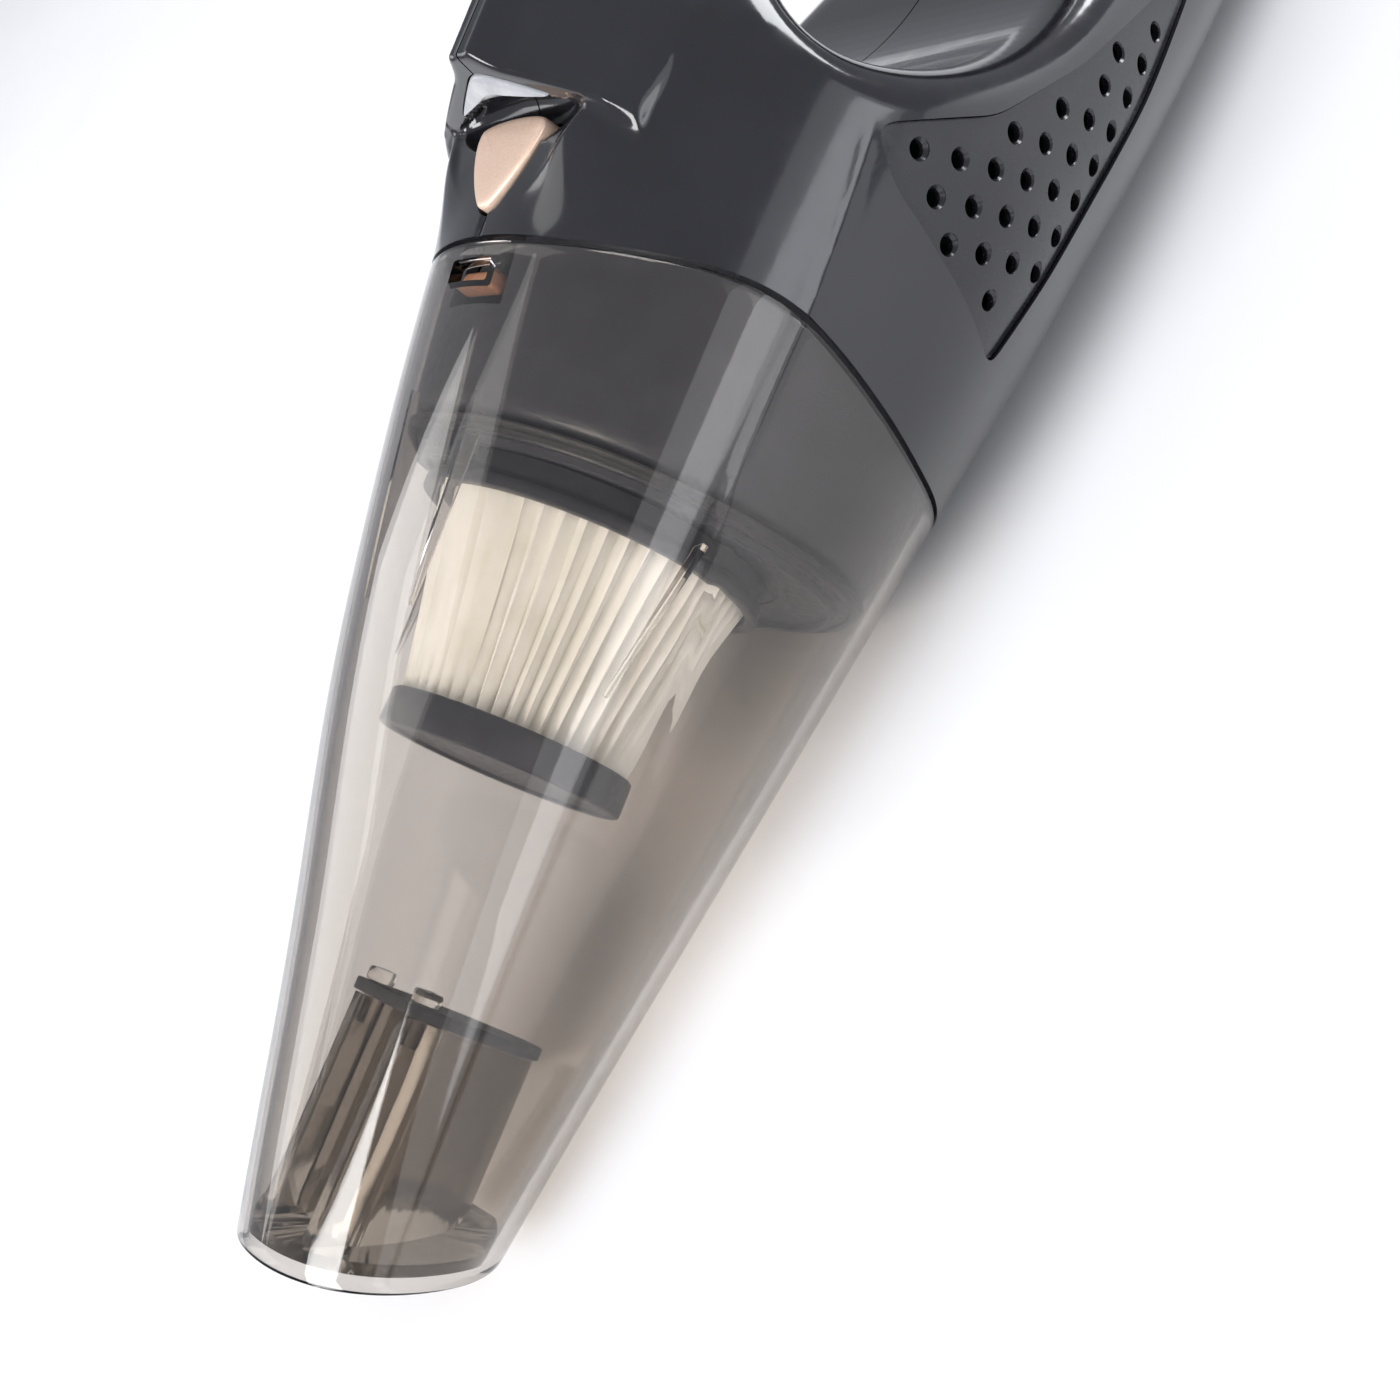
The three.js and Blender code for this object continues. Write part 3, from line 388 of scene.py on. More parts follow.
def housing_parts(side):
    """Fields of one housing half. The half is where all of them are negative."""
    def parts(x, y, z):
        outer = outer_form(x, y, z)
        seam = x - seam_at(z)[0] + SEAM_GAP
        middle = HALF_GAP - y
        lift = (z - scoop_floor(x)) * math.cos(SCOOP["slope"])
        cuts = [
            np.maximum(BUTTON_HOLE(x - lift * math.sin(SCOOP["slope"]), y) - 0.5, 86 - z),
            np.maximum(np.maximum(LENS_HOLE(y, z) - 0.25, 24 - x), x - 36),
            np.maximum(np.maximum(np.abs(x - SWITCH_X - 1) - 11, y - 3.2), 106 - z),
            np.maximum(np.hypot(x - LAMP["x"], y) - LAMP["radius"], 104 - z),
            np.maximum(np.hypot(y, z - JACK["z"]) - JACK["radius"], x + 186),
            np.maximum(VENT_WINDOW(x, z), 22 - y),
        ]
        cavity = outer + SHELL + (1 - fade(x, -200, -184))
        for sx, sz in SCREWS:
            reach = np.hypot(x - sx, z - sz)
            cavity = smax(cavity, 5 - reach, 1)
            if side < 0:
                cuts.append(np.maximum(reach - 3.5, 9.7 - y))
        cut = -np.minimum.reduce(cuts)
        return np.stack([outer, seam, middle, cut, -cavity])
    return parts


# ---------- surface of a field ----------

CORNERS = np.array([(i, j, k) for i in (0, 1) for j in (0, 1) for k in (0, 1)])
EDGES = [(a, b) for a in range(8) for b in range(a + 1, 8) if np.abs(CORNERS[a] - CORNERS[b]).sum() == 1]


def grid_axis(low, high, fine):
    """Grid positions, twice as close together over the fine stretch."""
    points = [low]
    while points[-1] < high:
        near = fine[0] < points[-1] < fine[1]
        points.append(points[-1] + NET_STEP * (0.5 if near else 1))
    return np.array(points)


def surface_net(parts, axes):
    """Closed quad mesh of the region where every field is negative, with its edges kept sharp."""
    size = [len(axis) for axis in axes]
    yy, zz = (g.ravel() for g in np.meshgrid(axes[1], axes[2], indexing="ij"))
    values, which = np.empty(size), np.empty(size, np.int8)
    for i, x in enumerate(axes[0]):
        layer = parts(np.full(yy.shape, x), yy, zz)
        values[i] = layer.max(axis=0).reshape(size[1:])
        which[i] = layer.argmax(axis=0).reshape(size[1:])
    inside = values < 0
    count = sum(inside[i:size[0] - 1 + i, j:size[1] - 1 + j, k:size[2] - 1 + k].astype(np.int8)
                for i, j, k in CORNERS)
    active = (count > 0) & (count < 8)
    cells = np.argwhere(active)
    index = np.full(active.shape, -1)
    index[active] = np.arange(len(cells))

    kinds = parts(axes[0][:1], axes[1][:1], axes[2][:1]).shape[0]
    total, hits = np.zeros((len(cells), 3)), np.zeros(len(cells))
    holds = np.zeros((kinds, len(cells)), bool)
    for a, b in EDGES:
        pa, pb = (cells + CORNERS[a]).T, (cells + CORNERS[b]).T
        fa, fb = values[tuple(pa)], values[tuple(pb)]
        cross = (fa < 0) != (fb < 0)
        t = np.where(cross, fa / np.where(cross, fa - fb, 1), 0)[:, None]
        total += cross[:, None] * (CORNERS[a] + t * (CORNERS[b] - CORNERS[a]))
        hits += cross
        outside = np.where(fa < 0, which[tuple(pb)], which[tuple(pa)])
        for kind in range(kinds):
            holds[kind] |= cross & (outside == kind)
    share = total / hits[:, None]
    points = np.empty_like(share)
    for k, axis in enumerate(axes):
        near, far = axis[cells[:, k]], axis[cells[:, k] + 1]
        points[:, k] = near + share[:, k] * (far - near)

    quads = []
    for axis in range(3):
        u, v = (axis + 1) % 3, (axis + 2) % 3
        first = np.take(inside, range(size[axis] - 1), axis)
        second = np.take(inside, range(1, size[axis]), axis)
        nodes = np.argwhere(first != second)
        nodes = nodes[(nodes[:, u] > 0) & (nodes[:, v] > 0)]
        nodes = nodes[(nodes[:, u] < size[u] - 1) & (nodes[:, v] < size[v] - 1)]
        ring = []
        for du, dv in ((-1, -1), (0, -1), (0, 0), (-1, 0)):
            cell = nodes.copy()
            cell[:, u] += du
            cell[:, v] += dv
            ring.append(index[tuple(cell.T)])
        ring = np.stack(ring, axis=1)
        flip = ~inside[tuple(nodes.T)]
        ring[flip] = ring[flip][:, ::-1]
        quads.append(ring)
    quads = np.concatenate(quads)
    single = holds.sum(axis=0) == 1
    points = settle(parts, points, holds, 3)
    for _ in range(2):
        points = relax(points, quads, single)
        points = settle(parts, points, holds, 2)
    return points, quads


def settle(parts, points, holds, rounds):
    """Moves each point onto the fields that hold it."""
    nudge = 0.02
    for _ in range(rounds):
        x, y, z = points.T
        level = parts(x, y, z) * holds
        slope = np.stack([
            parts(x + nudge, y, z) - parts(x - nudge, y, z),
            parts(x, y + nudge, z) - parts(x, y - nudge, z),
            parts(x, y, z + nudge) - parts(x, y, z - nudge),
        ], axis=-1) / (2 * nudge) * holds[..., None]
        jacobian = slope.transpose(1, 0, 2)
        square = jacobian @ jacobian.transpose(0, 2, 1) + 2e-3 * np.eye(len(level))
        pull = np.linalg.solve(square, level.T[..., None])
        move = -(jacobian.transpose(0, 2, 1) @ pull)[..., 0]
        length = np.linalg.norm(move, axis=1, keepdims=True)
        points = points + move * np.minimum(1, 0.4 * NET_STEP / np.maximum(length, 1e-9))
    return points


def relax(points, quads, free):
    """Moves free points halfway to the middle of their neighbours."""
    total, count = np.zeros_like(points), np.zeros(len(points))
    for a, b in ((0, 1), (1, 2), (2, 3), (3, 0)):
        for i, j in ((a, b), (b, a)):
            count += np.bincount(quads[:, i], minlength=len(points))
            for k in range(3):
                total[:, k] += np.bincount(quads[:, i], points[quads[:, j], k], len(points))
    middle = total / np.maximum(count, 1)[:, None]
    return np.where(free[:, None], 0.5 * (points + middle), points)


# ---------- meshes ----------

def make_object(name, points, faces, sharp=38):
    """Object from points in millimetres, with its faces turned outward."""
    mesh = bpy.data.meshes.new(name)
    points = np.asarray(points, float)
    faces = [tuple(int(i) for i in face) for face in faces]
    mesh.from_pydata((points * MM).tolist(), [], faces)
    mesh.update()
    obj = bpy.data.objects.new(name, mesh)
    bpy.context.scene.collection.objects.link(obj)
    turn_outward(obj)
    finish_mesh(obj, sharp)
    return obj


def turn_outward(obj):
    volume = 0.0
    for face in obj.data.polygons:
        volume += face.center.dot(face.normal) * face.area
    if volume < 0:
        obj.data.flip_normals()


def finish_mesh(obj, sharp=38):
    obj.data.polygons.foreach_set("use_smooth", [True] * len(obj.data.polygons))
    obj.data.set_sharp_from_angle(angle=math.radians(sharp))


def ring_grid(loops, closed=True, first=0):
    """Quads between consecutive loops of the same length, and round to the first if closed."""
    count, length = len(loops), len(loops[0])
    faces = []
    for i in range(count if closed else count - 1):
        a, b = first + i * length, first + (i + 1) % count * length
        for j in range(length):
            k = (j + 1) % length
            faces.append((a + j, a + k, b + k, b + j))
    return faces


def torus(name, loops, sharp=38):
    """Closed ring-shaped solid through the loops."""
    return make_object(name, np.concatenate(loops), ring_grid(loops), sharp)


def stack(name, loops, sharp=38):
    """Closed solid through the loops, with a fan of triangles over each end."""
    points = list(np.concatenate(loops))
    faces = ring_grid(loops, closed=False)
    length = len(loops[0])
    for loop, start in ((loops[0], 0), (loops[-1], (len(loops) - 1) * length)):
        centre = len(points)
        points.append(np.mean(loop, axis=0))
        for j in range(length):
            edge = (start + j, start + (j + 1) % length, centre)
            faces.append(edge[::-1] if start == 0 else edge)
    return make_object(name, points, faces, sharp)


def apply_modifiers(obj):
    graph = bpy.context.evaluated_depsgraph_get()
    mesh = bpy.data.meshes.new_from_object(obj.evaluated_get(graph))
    obj.modifiers.clear()
    old = obj.data
    obj.data = mesh
    bpy.data.meshes.remove(old)


def boolean(obj, other, operation, sharp=38):
    """Joins or cuts one closed object with another and removes the other."""
    modifier = obj.modifiers.new("cut", "BOOLEAN")
    modifier.operation = operation
    modifier.object = other
    modifier.solver = "MANIFOLD"
    apply_modifiers(obj)
    bpy.data.objects.remove(other)
    finish_mesh(obj, sharp)
    return obj


def join(obj, others):
    """Puts the others' meshes into the first object."""
    joined = bmesh.new()
    for piece in (obj, *others):
        joined.from_mesh(piece.data)
    joined.to_mesh(obj.data)
    joined.free()
    for piece in others:
        bpy.data.objects.remove(piece)
    finish_mesh(obj)
    return obj


def soften(obj, width, segments=2, angle=35):
    """Rounds the sharp edges."""
    modifier = obj.modifiers.new("round", "BEVEL")
    modifier.width = width * MM
    modifier.segments = segments
    modifier.limit_method = "ANGLE"
    modifier.angle_limit = math.radians(angle)
    modifier.harden_normals = False
    apply_modifiers(obj)
    finish_mesh(obj)
    return obj


BLOCK_FACES = [(0, 1, 3, 2), (4, 6, 7, 5), (0, 4, 5, 1), (2, 3, 7, 6), (0, 2, 6, 4), (1, 5, 7, 3)]


def rounded_block(name, x, y, z, radius, segments=3):
    """Block with rounded edges between two corners."""
    corners = [(a, b, c) for a in x for b in y for c in z]
    return soften(make_object(name, corners, BLOCK_FACES), radius, segments)


# ---------- places on the filter axis ----------

TILT = FILTER["tilt"]
REARWARD = np.array([-math.cos(TILT), 0, math.sin(TILT)])
UPWARD = np.array([math.sin(TILT), 0, math.cos(TILT)])
SIDEWAYS = np.array([0, 1.0, 0])
AXIS_START = np.array([FILTER["x"], 0, FILTER["z"]])


def on_axis(sideways, up, along):
    """Points from distances in the plane across the filter axis and behind the cap's front."""
    sideways, up, along = np.broadcast_arrays(sideways, up, along)
    return (AXIS_START + sideways[..., None] * SIDEWAYS + up[..., None] * UPWARD
            + along[..., None] * REARWARD)


def circle(radius, along):
    angle = around(LATHE_SIDES)
    return on_axis(radius * np.cos(angle), radius * np.sin(angle), along)


def barrel_field(points):
    x, y, z = points.T
    bottom, crown, half = lower_at(x)
    return smax(lobe(y, z, bottom - UNDERSIDE_CUT, crown, half, SECTION_POWER), -z, 0.5)


def barrel_radius(along, inset):
    """Distance from the filter axis to the barrel's surface, drawn in by an inset."""
    angle = around(RING_SIDES)
    low, high = np.full(RING_SIDES, 10.0), np.full(RING_SIDES, 75.0)
    for _ in range(30):
        middle = (low + high) / 2
        points = on_axis(middle * np.cos(angle), middle * np.sin(angle), along)
        outside = barrel_field(points) > -inset
        high = np.where(outside, middle, high)
        low = np.where(outside, low, middle)
    return (low + high) / 2


def axis_torus(name, rows, sharp):
    """Ring round the filter axis. Rows: distance along it, then a radius, or minus an inset.

    An inset draws the barrel's own section inward.
    """
    angle = around(RING_SIDES)
    loops = []
    for along, reach in rows:
        if reach < 0:
            reach = barrel_radius(along, -reach)
        loops.append(on_axis(reach * np.cos(angle), reach * np.sin(angle), along))
    return torus(name, loops, sharp)


def lathe(name, profile):
    """Ring or disc round the filter axis from a closed profile of radius and distance."""
    if min(radius for radius, _ in profile) > 0:
        return torus(name, [circle(radius, along) for radius, along in profile])
    return stack(name, [circle(max(radius, 0.01), along) for radius, along in profile])


# ---------- materials ----------

def material(name, colour, roughness, metallic=0.0, **sockets):
    """Principled material. Extra sockets are set by name with _ for spaces."""
    made = bpy.data.materials.new(name)
    made.use_nodes = True
    shader = made.node_tree.nodes["Principled BSDF"]
    shader.inputs["Base Color"].default_value = (*colour, 1)
    shader.inputs["Roughness"].default_value = roughness
    shader.inputs["Metallic"].default_value = metallic
    for socket, value in sockets.items():
        shader.inputs[socket.replace("_", " ")].default_value = value
    return made


def texture(made, kind, scale, detail=3.0, stretch=(1, 1, 1)):
    """Procedural texture in the piece's own coordinates. Its scale is in features per metre."""
    nodes, links = made.node_tree.nodes, made.node_tree.links
    place = nodes.new("ShaderNodeTexCoord")
    mapping = nodes.new("ShaderNodeMapping")
    mapping.inputs["Scale"].default_value = stretch
    node = nodes.new(kind)
    node.inputs["Scale"].default_value = scale
    if "Detail" in node.inputs:
        node.inputs["Detail"].default_value = detail
    links.new(place.outputs["Object"], mapping.inputs["Vector"])
    links.new(mapping.outputs["Vector"], node.inputs["Vector"])
    return node.outputs[0]


def noise(made, scale, detail, stretch=(1, 1, 1)):
    return texture(made, "ShaderNodeTexNoise", scale, detail, stretch)


def cells(made, scale):
    return texture(made, "ShaderNodeTexVoronoi", scale)


def mapped(made, source, low, high):
    """The texture's 0.3 to 0.7 stretched to run from low to high."""
    node = made.node_tree.nodes.new("ShaderNodeMapRange")
    node.inputs["From Min"].default_value = 0.3
    node.inputs["From Max"].default_value = 0.7
    node.inputs["To Min"].default_value = low
    node.inputs["To Max"].default_value = high
    made.node_tree.links.new(source, node.inputs["Value"])
    return node.outputs["Result"]


def vary_colour(made, source, first, second):
    nodes, links = made.node_tree.nodes, made.node_tree.links
    mix = nodes.new("ShaderNodeMix")
    mix.data_type = "RGBA"
    mix.inputs[6].default_value = (*first, 1)
    mix.inputs[7].default_value = (*second, 1)
    links.new(mapped(made, source, 0, 1), mix.inputs[0])
    links.new(mix.outputs[2], nodes["Principled BSDF"].inputs["Base Color"])


def vary_roughness(made, source, low, high):
    shader = made.node_tree.nodes["Principled BSDF"]
    made.node_tree.links.new(mapped(made, source, low, high), shader.inputs["Roughness"])


def add_bump(made, source, depth, strength=1.0):
    """Bump of a depth in millimetres. Several calls stack up."""
    nodes, links = made.node_tree.nodes, made.node_tree.links
    bump = nodes.new("ShaderNodeBump")
    bump.inputs["Distance"].default_value = depth * MM
    bump.inputs["Strength"].default_value = strength
    links.new(source, bump.inputs["Height"])
    normal = nodes["Principled BSDF"].inputs["Normal"]
    if normal.is_linked:
        links.new(normal.links[0].from_socket, bump.inputs["Normal"])
    links.new(bump.outputs["Normal"], normal)


def paint_rim_shade(made, tint):
    """Painted shade on clear plastic: the colour turns dark where the plastic is seen edge on, standing in
    both for the longer way the light takes through it and for the dark surroundings seen bent through the
    rim.
    """
    nodes, links = made.node_tree.nodes, made.node_tree.links
    facing = nodes.new("ShaderNodeLayerWeight")
    steep = nodes.new("ShaderNodeMath")
    steep.operation = "POWER"
    steep.inputs[1].default_value = 2.2
    mix = nodes.new("ShaderNodeMix")
    mix.data_type = "RGBA"
    mix.inputs[6].default_value = (*tint, 1)
    mix.inputs[7].default_value = (*(channel * 0.04 for channel in tint), 1)
    links.new(facing.outputs["Facing"], steep.inputs[0])
    links.new(steep.outputs[0], mix.inputs[0])
    links.new(mix.outputs[2], nodes["Principled BSDF"].inputs["Base Color"])


def let_lamps_through(made, tint):
    """Clear plastic that lamps shine through, tinting their light."""
    nodes, links = made.node_tree.nodes, made.node_tree.links
    path = nodes.new("ShaderNodeLightPath")
    clear = nodes.new("ShaderNodeBsdfTransparent")
    clear.inputs["Color"].default_value = (*tint, 1)
    mix = nodes.new("ShaderNodeMixShader")
    links.new(path.outputs["Is Shadow Ray"], mix.inputs["Fac"])
    links.new(nodes["Principled BSDF"].outputs["BSDF"], mix.inputs[1])
    links.new(clear.outputs["BSDF"], mix.inputs[2])
    links.new(mix.outputs["Shader"], nodes["Material Output"].inputs["Surface"])


def gloss_black():
    made = material("gloss_black_plastic", (0.011, 0.011, 0.014), 0.1, Coat_Weight=0.35,
                    Coat_Roughness=0.05, Specular_IOR_Level=0.55)
    haze = noise(made, 60, 4)
    vary_colour(made, haze, (0.0095, 0.0095, 0.012), (0.0135, 0.0135, 0.017))
    vary_roughness(made, noise(made, 240, 6), 0.1, 0.17)
    add_bump(made, noise(made, 420, 2), 0.004)
    return made


def satin_black():
    made = material("satin_black_plastic", (0.013, 0.013, 0.016), 0.24, Coat_Weight=0.15,
                    Coat_Roughness=0.12)
    vary_colour(made, noise(made, 90, 4), (0.011, 0.011, 0.014), (0.016, 0.016, 0.02))
    vary_roughness(made, noise(made, 700, 4), 0.18, 0.3)
    add_bump(made, noise(made, 2600, 3), 0.006)
    return made


def smoke_plastic(name, colour, roughness):
    made = material(name, colour, roughness, Transmission_Weight=1.0, IOR=1.49)
    vary_roughness(made, noise(made, 55, 5), roughness, roughness + 0.035)
    add_bump(made, noise(made, 120, 2), 0.004)
    # painted shade: the colour turns dark where the plastic is seen edge on
    paint_rim_shade(made, colour)
    let_lamps_through(made, tuple(channel ** 0.5 for channel in colour))
    return made


def clear_lens():
    made = material("clear_lens", (0.7, 0.71, 0.75), 0.16, Transmission_Weight=0.45, IOR=1.49)
    vary_colour(made, noise(made, 200, 3), (0.6, 0.61, 0.65), (0.8, 0.81, 0.84))
    add_bump(made, cells(made, 700), 0.06)
    return made


def rose_satin():
    made = material("rose_gold_satin", (0.86, 0.63, 0.49), 0.38, 0.4)
    vary_colour(made, noise(made, 2400, 2), (0.82, 0.58, 0.44), (0.9, 0.68, 0.54))
    vary_roughness(made, noise(made, 900, 4), 0.3, 0.44)
    add_bump(made, cells(made, 3600), 0.01)
    return made


def copper_satin():
    made = material("copper_satin", (0.46, 0.22, 0.12), 0.45, 0.45)
    vary_colour(made, noise(made, 1500, 3), (0.42, 0.19, 0.1), (0.52, 0.26, 0.15))
    add_bump(made, cells(made, 3000), 0.008)
    return made


def matt_plastic(name, colour, roughness):
    made = material(name, colour, roughness)
    dark = tuple(channel * 0.82 for channel in colour)
    light = tuple(channel * 1.2 for channel in colour)
    vary_colour(made, noise(made, 160, 5), dark, light)
    vary_roughness(made, noise(made, 900, 4), roughness - 0.07, roughness + 0.1)
    add_bump(made, cells(made, 2600), 0.012)
    return made


def filter_paper():
    made = material("filter_paper", (0.9, 0.89, 0.85), 0.9, Sheen_Weight=0.15, Sheen_Roughness=0.5)
    fibres = noise(made, 900, 8)
    vary_colour(made, noise(made, 140, 6), (0.84, 0.83, 0.77), (0.93, 0.925, 0.89))
    add_bump(made, fibres, 0.05, 0.6)
    return made


def rubber():
    made = material("black_rubber", (0.02, 0.02, 0.022), 0.62)
    vary_colour(made, noise(made, 300, 5), (0.014, 0.014, 0.016), (0.03, 0.03, 0.033))
    vary_roughness(made, noise(made, 600, 4), 0.5, 0.75)
    add_bump(made, noise(made, 1800, 5), 0.02)
    return made


def plain_steel():
    made = material("zinc_steel", (0.52, 0.53, 0.55), 0.3, 1.0)
    vary_colour(made, noise(made, 400, 5), (0.44, 0.45, 0.47), (0.6, 0.61, 0.62))
    vary_roughness(made, noise(made, 1400, 3, (1, 12, 12)), 0.22, 0.42)
    return made


def coloured(name, colour, roughness):
    made = material(name, colour, roughness)
    dark = tuple(channel * 0.75 for channel in colour)
    vary_colour(made, noise(made, 500, 5), dark, colour)
    add_bump(made, noise(made, 1200, 3), 0.01)
    return made


MATERIALS = {
    "body_gloss": gloss_black(),
    "grille_gloss": satin_black(),
    "cup_smoke": smoke_plastic("smoke_cup", (0.71, 0.67, 0.63), 0.015),
    "duct_smoke": smoke_plastic("smoke_duct", (0.42, 0.375, 0.32), 0.1),
    "lens_clear": clear_lens(),
    "lamp_frosted": smoke_plastic("frosted_lamp", (0.9, 0.93, 0.96), 0.4),
    "peg_clear": smoke_plastic("clear_peg", (0.95, 0.93, 0.9), 0.05),
    "rose_satin": rose_satin(),
    "latch_copper": copper_satin(),
    "slate_plastic": matt_plastic("slate_plastic", (0.026, 0.028, 0.036), 0.38),
    "inner_plastic": matt_plastic("inner_plastic", (0.011, 0.011, 0.013), 0.42),
    "fan_plastic": matt_plastic("fan_plastic", (0.62, 0.61, 0.56), 0.5),
    "filter_paper": filter_paper(),
    "rubber_black": rubber(),
    "steel_plain": plain_steel(),
    "cell_sleeve": coloured("cell_sleeve", (0.06, 0.2, 0.45), 0.35),
    "board_green": coloured("board_green", (0.02, 0.12, 0.05), 0.4),
}
NODE_SLOT = {row["node"]: row["material_slot"] for row in frame["record"]["subparts"]}


def dress(obj, slot_name):
    obj.data.materials.clear()
    obj.data.materials.append(MATERIALS[slot_name])


def place(obj, body, *nodes):
    """The piece stands for CAD nodes, rides on a body and takes their material."""
    slot_name = NODE_SLOT[nodes[0]]
    dress(obj, slot_name)
    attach(obj, body)
    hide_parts(*nodes)
    return obj


# ---------- housing ----------

def make_housing():
    axes = [
        grid_axis(-202.4, 53, (20, 52)),
        grid_axis(HALF_GAP - NET_STEP * 0.75, 54, (-2, 24)),
        grid_axis(-1.7, 122, (86, 113)),
    ]
    for name, side in (("left_shell", 1), ("right_shell", -1)):
        points, quads = surface_net(housing_parts(side), axes)
        points = points * (1, side, 1)
        node = name.replace("shell", "housing")
        place(make_object(name, points, quads, 34), "housing", node)


def flank_depth(x, z):
    """How far the housing's outer surface stands off the middle plane."""
    low, high = np.full(x.shape, 12.0), np.full(x.shape, 58.0)
    for _ in range(26):
        middle = (low + high) / 2
        outside = outer_form(x, middle, z) > 0
        high = np.where(outside, middle, high)
        low = np.where(outside, low, middle)
    return (low + high) / 2


def vent_holes(y0, y1):
    """Rods with a widened mouth, where the grille's round holes go."""
    holes = []
    for row in range(8):
        for i in range(13):
            x = 24 - i * VENT_PITCH - row % 2 * VENT_PITCH / 2
            z = 28.6 + row * VENT_ROW
            inside = outline_distance(VENT_OUTLINE, np.array([x]), np.array([z]))[0]
            if inside < -(VENT_HOLE + 1.1):
                holes.append((x, z))
    x, z = np.array(holes).T
    depth = flank_depth(x, z) - 0.9
    points, faces = [], []
    wide = VENT_HOLE + 0.5
    for cx, cz, mouth in zip(x, z, depth):
        profile = ((VENT_HOLE, y0), (VENT_HOLE, mouth - 0.55), (wide, mouth + 0.1), (wide, y1))
        loops = [side_circle(cx, y, cz, radius, HOLE_SIDES) for radius, y in profile]
        first = len(points)
        last = first + 3 * HOLE_SIDES
        points.extend(np.concatenate(loops))
        faces.extend(ring_grid(loops, False, first))
        faces.append(tuple(range(first + HOLE_SIDES - 1, first - 1, -1)))
        faces.append(tuple(range(last, last + HOLE_SIDES)))
    return points, faces


def make_grilles():
    xs, zs = np.arange(-60, 31, 0.7), np.arange(21, 73, 0.7)
    xx, zz = np.meshgrid(xs, zs, indexing="ij")
    surface = flank_depth(xx.ravel(), zz.ravel())
    rows, columns = xx.shape
    number = np.arange(rows * columns).reshape(rows, columns)
    block = np.stack([number[:-1, :-1], number[1:, :-1], number[1:, 1:], number[:-1, 1:]], -1)
    block = block.reshape(-1, 4)
    rim = np.concatenate([number[:-1, 0], number[-1, :-1], number[:0:-1, -1], number[0, :0:-1]])
    for name, side in (("left_grille", 1), ("right_grille", -1)):
        front = np.stack([xx.ravel(), side * (surface - 0.9), zz.ravel()], 1)
        back = np.stack([xx.ravel(), side * (surface - 2.5), zz.ravel()], 1)
        shift = rows * columns
        faces = [tuple(q) for q in block] + [tuple(q[::-1] + shift) for q in block]
        for a, b in zip(rim, np.roll(rim, -1)):
            faces.append((b, a, a + shift, b + shift))
        plate = make_object(name, np.concatenate([front, back]), faces)
        centre = VENT_OUTLINE.mean(axis=0)
        reach = np.linalg.norm(VENT_OUTLINE - centre, axis=1, keepdims=True)
        outline = centre + (VENT_OUTLINE - centre) * (1 - 0.35 / reach)
        loops = []
        for y in (18, 60):
            loops.append(np.stack([outline[:, 0], np.full(len(outline), side * y), outline[:, 1]], 1))
        boolean(plate, stack("window", loops), "INTERSECT")
        points, faces = vent_holes(20, 60)
        cutter = make_object("holes", np.array(points) * (1, side, 1), faces)
        boolean(plate, cutter, "DIFFERENCE", 30)
        place(plate, "housing", name.replace("grille", "vent_grille"))


def make_screws():
    profile = [(0.02, -12.2), (1.6, -12.15), (2.4, -11.95), (2.85, -11.5), (2.9, -11.2),
               (2.9, -10), (1.3, -10), (1.3, 6.4), (0.02, 7.6)]
    for i, (x, z) in enumerate(SCREWS):
        loops = [side_circle(x, y, z, radius, 32) for radius, y in profile]
        screw = stack(f"case_screw_{i + 1}", loops)
        for wide, tall in ((1.6, 0.32), (0.32, 1.6)):
            cross = rounded_block("cross", (x - wide, x + wide), (-14, -11), (z - tall, z + tall), 0.1, 1)
            boolean(screw, cross, "DIFFERENCE")
        place(screw, "housing", f"housing_screw_{i + 1}")


# ---------- lamp, button, latch and switch ----------

def make_lens():
    outline = lens_outline(-0.05)
    centre = np.array([0, LENS["low"] + 3.4])
    loops = []
    for scale, x in ((0.96, 27.9), (1, 28.2), (1, 30.2), (0.97, 30.55), (0.9, 30.75), (0.6, 30.95),
                     (0.25, 31.05)):
        ring = centre + (outline - centre) * scale
        loops.append(np.stack([np.full(len(ring), x), ring[:, 0], ring[:, 1]], 1))
    place(stack("brow_lens", loops), "housing", "led_lens")


def on_scoop(along, sideways, height):
    """Points on the scoop's slope: along it from the button's middle, sideways and above it."""
    slope = SCOOP["slope"]
    x = BUTTON["x"] + along * math.cos(slope) + height * math.sin(slope)
    z = scoop_floor(BUTTON["x"]) - along * math.sin(slope) + height * math.cos(slope)
    return np.stack([x, sideways, z], 1)


def make_button():
    outline = button_outline()
    loops = []
    steps = ((1, -2.6), (1, 0.1), (0.995, 0.35), (0.975, 0.55), (0.94, 0.68), (0.85, 0.76),
             (0.6, 0.84), (0.3, 0.88))
    for scale, height in steps:
        ring = outline * scale
        loops.append(on_scoop(ring[:, 0], ring[:, 1], np.full(len(ring), height)))
    place(stack("cup_release", loops), "latch", "release_button")


def make_latch():
    arm = rounded_block("latch_tongue", (33.4, 53), (-4.6, 4.6), (84.6, 86.8), 0.5)
    post = rounded_block("post", (35, 40.6), (-3.4, 3.4), (86.2, 90.2), 0.5)
    rear, front = SLOT["x"] - SLOT["length"] / 2, SLOT["x"] + SLOT["length"] / 2
    tab = rounded_block("tab", (rear + 0.2, front - 0.3), (-5.2, 5.2), (84.6, 88.2), 0.8, 4)
    latch = place(join(arm, [post, tab]), "latch", "latch_arm")
    latch.data.materials.append(MATERIALS["inner_plastic"])
    for face in latch.data.polygons:
        face.material_index = int(face.center.x < rear * MM)


